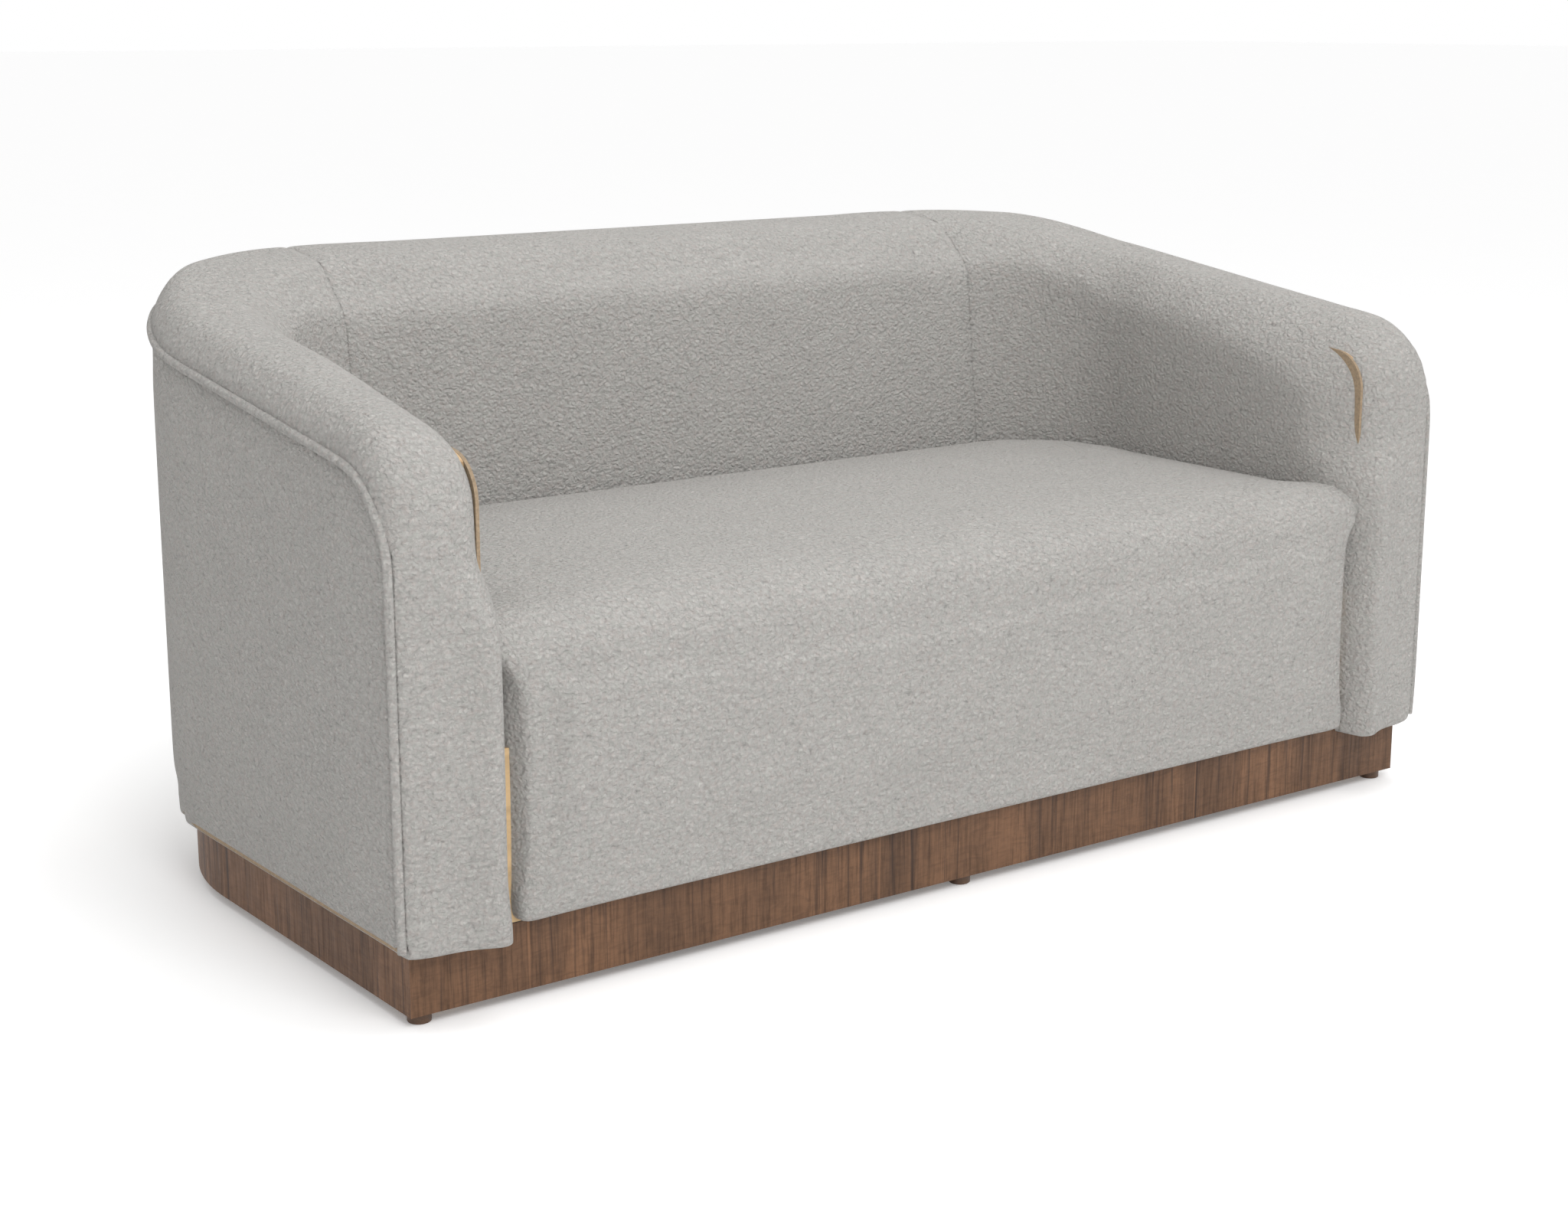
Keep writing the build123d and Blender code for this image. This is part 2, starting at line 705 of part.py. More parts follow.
plinth_boards()
plinth_fittings()
arm_and_back_frame()
inside_backing()
seat_frame()
springs()
seat_padding()
arm_and_back_padding()
covers()
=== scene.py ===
"""Tight-seat settee: its upholstery, piping, plinth and studio, built around the CAD frame."""
import json
from math import cos, exp, hypot, pi, radians, sin, sqrt, tan

import bpy
from bpy.props import FloatProperty, FloatVectorProperty, PointerProperty
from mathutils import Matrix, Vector
from mathutils.bvhtree import BVHTree
from mathutils.kdtree import KDTree

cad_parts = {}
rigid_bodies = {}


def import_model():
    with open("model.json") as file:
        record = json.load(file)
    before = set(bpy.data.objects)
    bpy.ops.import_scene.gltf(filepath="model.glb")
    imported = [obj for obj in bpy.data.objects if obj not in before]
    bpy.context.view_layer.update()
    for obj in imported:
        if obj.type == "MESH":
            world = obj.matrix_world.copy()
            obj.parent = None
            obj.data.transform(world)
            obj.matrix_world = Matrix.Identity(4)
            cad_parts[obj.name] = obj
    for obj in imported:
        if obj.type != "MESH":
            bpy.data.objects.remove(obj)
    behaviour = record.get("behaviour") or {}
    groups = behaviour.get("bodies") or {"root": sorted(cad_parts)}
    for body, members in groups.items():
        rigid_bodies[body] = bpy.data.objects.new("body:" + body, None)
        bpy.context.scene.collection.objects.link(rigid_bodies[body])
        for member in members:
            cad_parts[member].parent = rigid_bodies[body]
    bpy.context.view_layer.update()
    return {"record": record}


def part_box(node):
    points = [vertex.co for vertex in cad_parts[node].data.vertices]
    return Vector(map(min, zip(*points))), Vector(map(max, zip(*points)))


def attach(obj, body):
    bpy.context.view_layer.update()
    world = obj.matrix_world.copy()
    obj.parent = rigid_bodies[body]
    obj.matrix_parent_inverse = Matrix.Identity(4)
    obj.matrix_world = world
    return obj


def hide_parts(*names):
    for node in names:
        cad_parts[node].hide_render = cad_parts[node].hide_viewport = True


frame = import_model()

bl_info = {
    "name": "Tight-seat settee",
    "version": (1, 0, 0),
    "blender": (4, 5, 0),
    "location": "View3D > Sidebar > Settee",
    "description": "Upholsters a curved settee on a wooden plinth",
    "category": "Object",
}

# ---------------------------------------------------------------- places read from the frame
ARM_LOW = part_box("left_arm_cover")[0]
BACK_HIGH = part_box("inside_back_cover")[1]
SEAT_LOW, SEAT_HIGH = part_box("seat_cover")
OUTSIDE_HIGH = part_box("back_outside_cover")[1]
BEND_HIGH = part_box("plinth_left_corner")[1]
DECK_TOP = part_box("seat_front_rail")[1].z

HALF_WIDTH = -ARM_LOW.x
FRONT = ARM_LOW.y
BACK = OUTSIDE_HIGH.y
BOTTOM = ARM_LOW.z
TOP = BACK_HIGH.z
SEAM_X = BACK_HIGH.x
INNER_HALF = SEAT_HIGH.x + 0.0005
OUTER_RADIUS = BEND_HIGH.x + HALF_WIDTH
FABRIC = 0.003


def smooth_step(low, high, value):
    """From 0 at low to 1 at high, easing at both ends."""
    share = min(1.0, max(0.0, (value - low) / (high - low)))
    return share * share * (3 - 2 * share)


# ---------------------------------------------------------------- settings
class SetteeUpholstery(bpy.types.PropertyGroup):
    """Sizes of the upholstered body."""

    arm_front_height: FloatProperty(
        name="Arm front height", description="Where the arm's top line meets its front line",
        default=0.624, unit="LENGTH",
    )
    arm_slope: FloatProperty(
        name="Arm slope", description="Rise of the arms towards the back", default=radians(7.6),
        subtype="ANGLE",
    )
    corner_slope: FloatProperty(
        name="Corner slope", description="Steeper rise round the rear corners",
        default=radians(13.5), subtype="ANGLE",
    )
    corner_rise: FloatProperty(
        name="Corner rise", description="Height gained round the rear corners", default=0.039,
        unit="LENGTH",
    )
    inside_corner: FloatProperty(
        name="Inside corner radius", description="Bend of the inside at seat level",
        default=0.165, unit="LENGTH",
    )
    back_rake: FloatProperty(
        name="Back rake", description="Lean of the inside back", default=radians(6),
        subtype="ANGLE",
    )
    nose_round: FloatProperty(
        name="Arm nose", description="Round from the arm's top into its front", default=0.098,
        unit="LENGTH",
    )
    inner_round: FloatProperty(
        name="Inner round", description="Round of the arms' edges on the sitting side",
        default=0.080, unit="LENGTH",
    )
    nose_inner_round: FloatProperty(
        name="Nose inner round", description="Inner round at the front end of the arms",
        default=0.112, unit="LENGTH",
    )
    back_round: FloatProperty(
        name="Back round", description="Round of the back's edge on the sitting side",
        default=0.105, unit="LENGTH",
    )
    outer_round: FloatProperty(
        name="Outer round", description="Round of the crown above the piping", default=0.052,
        unit="LENGTH",
    )
    front_round: FloatProperty(
        name="Front round", description="Round of the arm fronts beside the seat",
        default=0.034, unit="LENGTH",
    )
    corner_round: FloatProperty(
        name="Corner round", description="Round of the arms' outer front edges",
        default=0.008, unit="LENGTH",
    )
    softness: FloatProperty(
        name="Softness", description="Spread of the smoothing over the whole body",
        default=0.013, unit="LENGTH",
    )
    swelling: FloatProperty(
        name="Swelling", description="Most that the padding may stand out from its block",
        default=0.005, unit="LENGTH",
    )
    panel_swelling: FloatProperty(
        name="Panel swelling", description="Most that the outside panels may stand out",
        default=0.005, unit="LENGTH",
    )
    grain: FloatProperty(
        name="Block grain", description="Size of the block's faces before the last subdivision",
        default=0.010, unit="LENGTH",
    )
    arm_bulge: FloatProperty(
        name="Arm front bulge", description="How far the arm fronts stand out near the seat",
        default=0.018, unit="LENGTH",
    )
    arm_corner: FloatProperty(
        name="Arm corner", description="How far the arm fronts fall back to the piping",
        default=0.013, unit="LENGTH",
    )
    arm_taper: FloatProperty(
        name="Arm taper", description="Narrowing of the arms where the seat meets their fronts",
        default=0.010, unit="LENGTH",
    )
    hem_drop: FloatProperty(
        name="Hem drop", description="How far the hem hangs over the plinth's top",
        default=0.006, unit="LENGTH",
    )


class SetteeSeams(bpy.types.PropertyGroup):
    """Piping and seams."""

    drop: FloatProperty(
        name="Seam drop", description="Piping below the arm's top line", default=0.055,
        unit="LENGTH",
    )
    setback: FloatProperty(
        name="Seam setback", description="Piping behind the arm's front", default=0.031,
        unit="LENGTH",
    )
    nose_round: FloatProperty(
        name="Seam nose", description="Round of the piping over the arm's front", default=0.1,
        unit="LENGTH",
    )
    piping: FloatProperty(
        name="Piping", description="Thickness of the piped roll", default=0.010, unit="LENGTH",
    )
    groove: FloatProperty(
        name="Groove", description="Depth of the cloth beside the piping", default=0.003,
        unit="LENGTH",
    )
    sunk: FloatProperty(
        name="Sunk", description="Depth of the roll's centre under the cloth", default=-0.0015,
        unit="LENGTH",
    )
    lift: FloatProperty(
        name="Lift", description="Rise of the crown's cloth onto the piping", default=0.001,
        unit="LENGTH",
    )
    upright_groove: FloatProperty(
        name="Upright seam", description="Depth of the two upright seams", default=0.0018,
        unit="LENGTH",
    )


class SetteeSeat(bpy.types.PropertyGroup):
    """The seat pad."""

    nose_round: FloatProperty(
        name="Seat nose", description="Round of the seat's front edge", default=0.048,
        unit="LENGTH",
    )
    edge_round: FloatProperty(
        name="Seat edges", description="Softness of the other edges", default=0.008,
        unit="LENGTH",
    )
    soft_middle: FloatProperty(
        name="Seat nose softness", description="Extra softness in the middle of the nose",
        default=0.030, unit="LENGTH",
    )
    crown: FloatProperty(
        name="Seat crown", description="Rise of the seat's middle", default=0.005, unit="LENGTH",
    )
    spread: FloatProperty(
        name="Seat spread", description="Widening of the seat between the arm fronts",
        default=0.010, unit="LENGTH",
    )
    upper_spread: FloatProperty(
        name="Upper spread", description="Further widening at the seat's upper front corners",
        default=0.030, unit="LENGTH",
    )
    slit: FloatProperty(
        name="Side slit", description="Opening between the seat's front and the arm fronts",
        default=0.009, unit="LENGTH",
    )


class SetteeFinish(bpy.types.PropertyGroup):
    """Colours and grain."""

    cloth: FloatVectorProperty(
        name="Cloth", description="Main colour of the looped cloth", subtype="COLOR",
        default=(0.46, 0.443, 0.42), min=0, max=1,
    )
    # Painted shade: the darker colour given to the hollows between the loops, where shade falls on the
    # real cloth.
    painted_hollow_shade: FloatVectorProperty(
        name="Cloth hollows", description="Colour between the loops", subtype="COLOR",
        default=(0.25, 0.238, 0.225), min=0, max=1,
    )
    loop: FloatProperty(
        name="Loop size", description="Size of the cloth's nubs", default=0.0046, unit="LENGTH",
    )
    relief: FloatProperty(
        name="Loop relief", description="Depth of the cloth's nubs", default=0.010,
        unit="LENGTH",
    )
    walnut: FloatVectorProperty(
        name="Walnut", description="Main colour of the plinth", subtype="COLOR",
        default=(0.118, 0.058, 0.028), min=0, max=1,
    )
    walnut_dark: FloatVectorProperty(
        name="Walnut streaks", description="Dark streaks of the plinth", subtype="COLOR",
        default=(0.032, 0.015, 0.008), min=0, max=1,
    )


class SetteeStudio(bpy.types.PropertyGroup):
    """Camera and light."""

    azimuth: FloatProperty(
        name="Azimuth", description="Turn of the camera about the settee", subtype="ANGLE",
        default=radians(-36.24),
    )
    elevation: FloatProperty(
        name="Elevation", description="Camera's look down", subtype="ANGLE",
        default=radians(13.14),
    )
    camera: FloatVectorProperty(
        name="Camera place", description="Where the camera stands", subtype="XYZ",
        default=(-1.8855, -2.5821, 1.0213), unit="LENGTH",
    )
    lens: FloatProperty(
        name="Lens", description="Focal length in millimetres", default=58.39, min=10,
    )
    floor: FloatVectorProperty(
        name="Floor", description="Colour of the floor", subtype="COLOR",
        default=(0.90, 0.90, 0.90), min=0, max=1,
    )
    key: FloatProperty(name="Key light", description="Power in watts", default=75)
    top: FloatProperty(name="Top light", description="Power in watts", default=32)
    shade: FloatProperty(
        name="Left side", description="Brightness of the surround on the left", default=0.62,
    )


def settings():
    return bpy.context.scene


# ---------------------------------------------------------------- modelling by hand
def deselect():
    if bpy.context.object and bpy.context.object.mode != "OBJECT":
        bpy.ops.object.mode_set(mode="OBJECT")
    bpy.ops.object.select_all(action="DESELECT")


def pick(piece):
    """Make a piece the only selected one and the active one."""
    deselect()
    piece.select_set(True)
    bpy.context.view_layer.objects.active = piece


def add_block(name, low, high):
    """A cube primitive between two corners, with its place in its mesh."""
    deselect()
    middle = [(a + b) / 2 for a, b in zip(low, high)]
    size = [b - a for a, b in zip(low, high)]
    bpy.ops.mesh.primitive_cube_add(size=1, location=middle, scale=size)
    block = bpy.context.object
    block.name = name
    bpy.ops.object.transform_apply(location=True, rotation=True, scale=True)
    return block


def select_in(piece, kind, chosen):
    """Enter edit mode with only the chosen vertices, edges or faces selected."""
    pick(piece)
    bpy.ops.object.mode_set(mode="EDIT")
    bpy.ops.mesh.select_mode(type=kind)
    bpy.ops.mesh.select_all(action="DESELECT")
    bpy.ops.object.mode_set(mode="OBJECT")
    mesh = piece.data
    items = {"VERT": mesh.vertices, "EDGE": mesh.edges, "FACE": mesh.polygons}[kind]
    for item in items:
        item.select = chosen(item)
    bpy.ops.object.mode_set(mode="EDIT")


def leave_edit():
    bpy.ops.object.mode_set(mode="OBJECT")


def edge_ends(piece, edge):
    """The two end points of an edge."""
    return [piece.data.vertices[i].co for i in edge.vertices]


def round_upright_edges(piece, rear, radius, segments):
    """Bevel the upright edges at Y = rear."""
    def upright(edge):
        a, b = edge_ends(piece, edge)
        return abs(a.y - rear) < 1e-4 and abs(b.y - rear) < 1e-4 and abs(a.z - b.z) > 0.05

    select_in(piece, "EDGE", upright)
    bpy.ops.mesh.bevel(offset=radius, segments=segments, affect="EDGES")
    leave_edit()


def add_modifier(piece, kind, **values):
    """Add a modifier with these values and apply it."""
    pick(piece)
    bpy.ops.object.modifier_add(type=kind)
    modifier = piece.modifiers[-1]
    for key, value in values.items():
        setattr(modifier, key, value)
    bpy.ops.object.modifier_apply(modifier=modifier.name)


def cut_with(piece, tool, operation):
    """Boolean a piece with a tool, which is then deleted."""
    add_modifier(piece, "BOOLEAN", operation=operation, object=tool, solver="EXACT")
    pick(tool)
    bpy.ops.object.delete()


def weigh(piece, name, weight):
    """A vertex group with weight(place) for each vertex."""
    group = piece.vertex_groups.new(name=name)
    for vertex in piece.data.vertices:
        group.add([vertex.index], weight(vertex.co), "REPLACE")
    return group.name


def soften(piece, radius, spacing, weight):
    """Smooth a remeshed block so that its sharp edges get about this softness."""
    factor = 0.5
    steps = round(2 * radius ** 2 / (factor * spacing ** 2))
    group = weigh(piece, "softness", weight)
    add_modifier(piece, "SMOOTH", factor=factor, iterations=steps, vertex_group=group)
    piece.vertex_groups.clear()


def push(piece, move):
    """Move each vertex by move(place)."""
    for vertex in piece.data.vertices:
        vertex.co += Vector(move(vertex.co))


def swell(piece, cap):
    """Inflate a closed block by cloth simulation; no vertex goes further than cap(its start)."""
    pick(piece)
    start = [vertex.co.copy() for vertex in piece.data.vertices]
    bpy.ops.object.modifier_add(type="CLOTH")
    cloth = piece.modifiers[-1]
    cloth.settings.use_pressure = True
    cloth.settings.uniform_pressure_force = 4
    cloth.settings.effector_weights.gravity = 0
    cloth.settings.quality = 4
    cloth.settings.mass = 0.3
    cloth.settings.tension_stiffness = 15
    cloth.settings.compression_stiffness = 15
    cloth.settings.bending_stiffness = 2
    cloth.collision_settings.use_collision = False
    cloth.collision_settings.use_self_collision = False
    scene = bpy.context.scene
    for number in range(1, 21):
        scene.frame_set(number)
    bpy.ops.object.modifier_apply(modifier=cloth.name)
    for vertex, was in zip(piece.data.vertices, start):
        moved = vertex.co - was
        most = cap(was)
        if moved.length > most:
            vertex.co = was + moved * (most / moved.length)
    scene.frame_set(1)


# ---------------------------------------------------------------- shape of the arms and back
def top_line():
    """The side view's top as (Y, height) points: nose, foot of the steeper rise, crest."""
    shape = settings().settee_upholstery
    foot_y = FRONT + (TOP - shape.corner_rise - shape.arm_front_height) / tan(shape.arm_slope)
    crest_y = foot_y + shape.corner_rise / tan(shape.corner_slope)
    return [
        (FRONT, shape.arm_front_height),
        (foot_y, TOP - shape.corner_rise),
        (crest_y, TOP),
    ]


def top_height(y):
    """Height of the unrounded top line at Y."""
    points = top_line()
    if y >= points[-1][0]:
        return TOP
    for (y0, z0), (y1, z1) in zip(points, points[1:]):
        if y < y1:
            return z0 + (z1 - z0) * (y - y0) / (y1 - y0)
    return TOP


def body_block():
    """The arms and back as one block: a rounded plan, a sloping top and the sitting space."""
    shape = settings().settee_upholstery
    inset = shape.swelling
    half, rear = HALF_WIDTH, BACK
    front = FRONT + shape.arm_bulge
    body = add_block("body", (-half, front, BOTTOM), (half, rear, TOP + 0.3))
    round_upright_edges(body, rear, OUTER_RADIUS, 28)

    side = add_block("side", (-1.0, front, BOTTOM), (1.0, BACK + 0.2, TOP - inset))
    _, (foot_y, foot_z), (crest_y, _) = top_line()
    for y in (foot_y, crest_y):
        select_in(side, "FACE", lambda face: True)
        bpy.ops.mesh.bisect(plane_co=(0, y, 0), plane_no=(0, 1, 0))
        leave_edit()
    for y, z in ((front, top_height(front)), (foot_y, foot_z)):
        select_in(side, "VERT", lambda v: abs(v.co.y - y) < 1e-4 and v.co.z > TOP - 0.01)
        bpy.ops.transform.translate(value=(0, 0, z - TOP))
        leave_edit()
    for y, width in ((front, shape.nose_round), (foot_y, 0.05), (crest_y, 0.07)):
        def across(edge):
            a, b = edge_ends(side, edge)
            high = min(a.z, b.z) > BOTTOM + 0.05
            return high and abs(a.y - y) < 1e-4 and abs(b.y - y) < 1e-4 and abs(a.x - b.x) > 0.5

        select_in(side, "EDGE", across)
        bpy.ops.mesh.bevel(offset=width, segments=10, affect="EDGES")
        leave_edit()
    cut_with(body, side, "INTERSECT")

    above = TOP + 0.3
    lean = tan(shape.back_rake)
    seat_back = SEAT_HIGH.y + 0.0005 + (BOTTOM - SEAT_HIGH.z) * lean
    space = add_block(
        "space", (-INNER_HALF - inset, FRONT - 0.2, BOTTOM - 0.1),
        (INNER_HALF + inset, seat_back + inset, above),
    )
    round_upright_edges(space, seat_back + inset, shape.inside_corner, 16)
    select_in(space, "VERT", lambda v: v.co.z > above - 1e-4 and v.co.y > FRONT)
    bpy.ops.transform.translate(value=(0, (above - BOTTOM + 0.1) * lean, 0))
    leave_edit()
    cut_with(body, space, "DIFFERENCE")
    return body


def from_outside(place):
    """Distance inside the outer wall, and the direction further in."""
    x, y = abs(place.x), place.y
    side = -1 if place.x > 0 else 1
    straight = HALF_WIDTH - OUTER_RADIUS
    corner_y = BACK - OUTER_RADIUS
    if x > straight and y > corner_y:
        reach = hypot(x - straight, y - corner_y)
        return OUTER_RADIUS - reach, (side * (x - straight) / reach, (corner_y - y) / reach, 0)
    if y > corner_y:
        return BACK - y, (0, -1, 0)
    return HALF_WIDTH - x, (side, 0, 0)


def from_inside(place):
    """Distance behind the wall of the sitting space, and the direction further behind."""
    shape = settings().settee_upholstery
    x, radius = abs(place.x), shape.inside_corner
    side = 1 if place.x > 0 else -1
    back = SEAT_HIGH.y + 0.0005 + (place.z - SEAT_HIGH.z) * tan(shape.back_rake)
    half = INNER_HALF + shape.swelling
    back += shape.swelling
    if x > half - radius and place.y > back - radius:
        dx, dy = x - half + radius, place.y - back + radius
        reach = hypot(dx, dy)
        return reach - radius, (side * dx / reach, dy / reach, 0)
    if place.y - back > x - half:
        return place.y - back, (0, 1, 0)
    return x - half, (side, 0, 0)


def from_profile(place):
    """Distance under the side view's outline, and the direction further in."""
    shape = settings().settee_upholstery
    front = FRONT + shape.arm_bulge
    radius = shape.nose_round
    reach = radius * tan((pi / 2 - shape.arm_slope) / 2)
    centre_y, centre_z = front + radius, top_height(front) - reach
    dy, dz = place.y - centre_y, place.z - centre_z
    if dz < 0 and dy < -dz * tan(shape.arm_slope):
        return place.y - front, (0, 1, 0)
    if dy * cos(shape.arm_slope) + dz * sin(shape.arm_slope) > 0 or dy > 0:
        level = min(top_height(place.y), TOP - shape.swelling)
        return level - place.z, (0, 0, -1)
    length = max(1e-6, hypot(dy, dz))
    return radius - length, (0, -dy / length, -dz / length)


def round_between(place, first, second, radius):
    """Move a place near the edge between two walls onto a round of this radius."""
    gap_a, way_a = first(place)
    gap_b, way_b = second(place)
    a, b = radius - max(gap_a, 0), radius - max(gap_b, 0)
    reach = hypot(a, b)
    if a <= 0 or b <= 0 or reach <= radius:
        return place
    keep = 1 - radius / reach
    return place + Vector(way_a) * a * keep + Vector(way_b) * b * keep


def inner_radius(place):
    """Round of the sitting side's edges: wide on top, wider at the ends, small by the seat."""
    shape = settings().settee_upholstery
    above_seat = smooth_step(SEAT_HIGH.z - 0.03, SEAT_HIGH.z + 0.07, place.z)
    at_back = smooth_step(0.0, 0.25, place.y) * (1 - smooth_step(0.45, 0.60, abs(place.x)))
    at_front = 1 - smooth_step(0.05, 0.38, place.y - FRONT)
    wide = shape.inner_round + (shape.back_round - shape.inner_round) * at_back
    wide += (shape.nose_inner_round - shape.inner_round) * at_front
    return shape.front_round + (wide - shape.front_round) * above_seat


def outer_edge_radius(place):
    """Round of the outer edges: wide on the crown, small down the arm fronts."""
    shape = settings().settee_upholstery
    crown = 1 - smooth_step(0.02, 0.09, top_height(FRONT) - place.z)
    return shape.corner_round + (shape.outer_round - shape.corner_round) * crown


def body_softness(place):
    """Weight of the smoothing: full, but low at the hem and down the outer front edges."""
    low = 1 - smooth_step(0.0, 0.04, place.z - BOTTOM)
    at_corner = (1 - smooth_step(0.02, 0.06, outer_depth(place))) * (
        1 - smooth_step(0.03, 0.08, place.y - FRONT)
    )
    at_corner *= smooth_step(0.05, 0.15, top_height(FRONT) - place.z)
    return 1 - 0.85 * max(low, at_corner)


def body_cap(place):
    """How far the padding may swell: hardly at all where cloth lies on the outer boards."""
    shape = settings().settee_upholstery
    drop = top_height(place.y) - place.z
    outer = (1 - smooth_step(0.01, 0.03, outer_depth(place))) * smooth_step(0.02, 0.05, drop)
    panel = shape.panel_swelling * smooth_step(0.055, 0.11, drop)
    panel *= smooth_step(0.03, 0.12, place.y - FRONT)
    hem = smooth_step(0.0, 0.06, place.z - BOTTOM)
    return max(0.0002, (shape.swelling * (1 - outer) + panel * outer) * hem)


def arm_move(place):
    """Slant and bulge the arm fronts, narrow them beside the seat and let the hem hang."""
    shape = settings().settee_upholstery
    depth = place.y - FRONT - shape.arm_bulge
    from_wall = HALF_WIDTH - abs(place.x)
    low = smooth_step(-0.02, 0.15, top_height(FRONT) - place.z)
    bulge = exp(-((from_wall - 0.122) / 0.040) ** 2) * (1 - smooth_step(0.0, 0.09, depth))
    corner = max(0.0, 1 - max(0.0, from_wall) / 0.04) ** 1.4 * (1 - smooth_step(0.0, 0.05, depth))
    forward = shape.arm_bulge * bulge * (0.4 + 0.6 * low) - shape.arm_corner * corner

    from_seat = abs(place.x) - INNER_HALF
    beside = (1 - smooth_step(0.01, 0.06, depth)) * (1 - smooth_step(0.01, 0.07, from_seat))
    beside *= 1 - smooth_step(SEAT_HIGH.z - 0.03, SEAT_HIGH.z + 0.05, place.z)
    outward = shape.arm_taper * beside * (1 if place.x > 0 else -1)

    hem = 1 - smooth_step(0.006, 0.03, place.z - BOTTOM)
    fall = shape.hem_drop * hem * (1 + 0.3 * (1 - smooth_step(0.0, 0.04, depth)))
    return (outward, -forward, -fall)


def seam_line(y_front, nose, drop, steps):
    """The piping's side view as (Y, Z) points from the hem, over the nose, to the back."""
    nose_z = top_height(y_front) - drop
    slope = settings().settee_upholstery.arm_slope
    turn = pi / 2 - slope
    reach = nose * tan(turn / 2)
    start = (y_front, nose_z - reach)
    points = [(y_front, BOTTOM + (start[1] - BOTTOM) * i / steps) for i in range(steps)]
    centre = (y_front + nose, start[1])
    for i in range(steps + 1):
        angle = turn * i / steps
        points.append((centre[0] - nose * cos(angle), centre[1] + nose * sin(angle)))
    return points


def outline_point(distance):
    """A point of the body's outer plan, by its distance from the middle of the back."""
    straight = HALF_WIDTH - OUTER_RADIUS
    bend = OUTER_RADIUS * pi / 2
    if distance <= straight:
        return (distance, BACK)
    if distance <= straight + bend:
        angle = (distance - straight) / OUTER_RADIUS
        return (
            straight + OUTER_RADIUS * sin(angle),
            BACK - OUTER_RADIUS + OUTER_RADIUS * cos(angle),
        )
    return (HALF_WIDTH, BACK - OUTER_RADIUS - (distance - straight - bend))


def eased_top(y, reach=0.05):
    """The top line with its bends eased, as the average height close by."""
    count = 9
    offsets = [reach * (2 * i / (count - 1) - 1) for i in range(count)]
    return sum(top_height(y + offset) for offset in offsets) / count


def seam_path():
    """The piping's route on the outer wall, from the left hem round to the right hem."""
    seams = settings().settee_seams
    front = FRONT + seams.setback
    half = []
    side = seam_line(front, seams.nose_round, seams.drop, 24)
    distance = 0
    while True:
        x, y = outline_point(distance)
        if y < side[-1][0] + 0.01:
            break
        half.append((x, y, eased_top(y) - seams.drop))
        distance += 0.012
    half += [(HALF_WIDTH, y, z) for y, z in reversed(side)]
    left = [(-x, y, z) for x, y, z in reversed(half)]
    return [Vector(p) for p in left[:-1] + half]


def evened(vectors, passes):
    """Average each vector with its neighbours along a route."""
    for _ in range(passes):
        inner = [
            (a + 2 * b + c) / 4 for a, b, c in zip(vectors, vectors[1:], vectors[2:])
        ]
        vectors = [vectors[0], *inner, vectors[-1]]
    return vectors


def settle_on(tree, points):
    """Move points onto a surface; give the evened route and the surface's normals there."""
    found = [tree.find_nearest(point) for point in points]
    route = evened([place for place, *_ in found], 6)
    normals = evened([normal for _, normal, *_ in found], 10)
    return route, [normal.normalized() for normal in normals]


def cloth_zone(centre, seam_drop_line):
    """Which cover a face belongs to: an outside panel or an inside cover, and its side."""
    side = "left" if centre.x < -SEAM_X else "right" if centre.x > SEAM_X else "back"
    return ("outside_" if outside_panel(centre, seam_drop_line) else "inside_") + side


def outer_depth(place):
    """How far inside the body's outer plan a place is."""
    return from_outside(place)[0]


def outside_panel(place, line):
    """Whether a place of the body is on the outer wall, under the piping."""
    if outer_depth(place) > 0.05 or place.y < FRONT + settings().settee_seams.setback:
        return False
    return place.z < line(place.y)


def seam_height(y):
    """Height of the piping at Y."""
    seams = settings().settee_seams
    front = FRONT + seams.setback
    side = seam_line(front, seams.nose_round, seams.drop, 24)
    if y <= front:
        return BOTTOM
    if y >= side[-1][0]:
        return eased_top(y) - seams.drop
    for (y0, z0), (y1, z1) in zip(side[24:], side[25:]):
        if y0 <= y <= y1 and y1 > y0:
            return z0 + (z1 - z0) * (y - y0) / (y1 - y0)
    return side[24][1]


def distances_to(path):
    """A function giving a place's distance to a route of points."""
    tree = KDTree(len(path))
    for number, point in enumerate(path):
        tree.insert(point, number)
    tree.balance()
    return lambda place: tree.find(place)[2]


def press_seams(body, distance):
    """Sink the cloth below the piping, raise it above, and sink the two upright seams."""
    seams = settings().settee_seams
    body.data.update()
    normals = [vertex.normal.copy() for vertex in body.data.vertices]
    for vertex, normal in zip(body.data.vertices, normals):
        gap = distance(vertex.co)
        if outside_panel(vertex.co, seam_height):
            depth = seams.groove * exp(-(gap / 0.0075) ** 2)
        else:
            depth = -seams.lift * exp(-(gap / 0.010) ** 2)
            if vertex.co.y > 0:
                from_seam = abs(abs(vertex.co.x) - SEAM_X)
                depth += seams.upright_groove * exp(-(from_seam / 0.006) ** 2)
                depth += 0.0006 * exp(-(from_seam / 0.03) ** 2)
        vertex.co -= normal * depth


def part_off(body, name, chosen):
    """Split the chosen faces off a body into a piece of their own."""
    select_in(body, "FACE", chosen)
    if not any(face.select for face in body.data.polygons):
        raise RuntimeError(f"no faces for {name}")
    before = set(bpy.data.objects)
    bpy.ops.mesh.separate(type="SELECTED")
    leave_edit()
    piece = (set(bpy.data.objects) - before).pop()
    piece.name = name
    piece.data.name = name
    return piece


def line_with_backing(piece, thickness):
    """Give a cover its thickness, inwards."""
    add_modifier(piece, "SOLIDIFY", thickness=thickness, offset=-1, use_even_offset=False)


def shade_soft(piece):
    pick(piece)
    bpy.ops.object.shade_smooth()


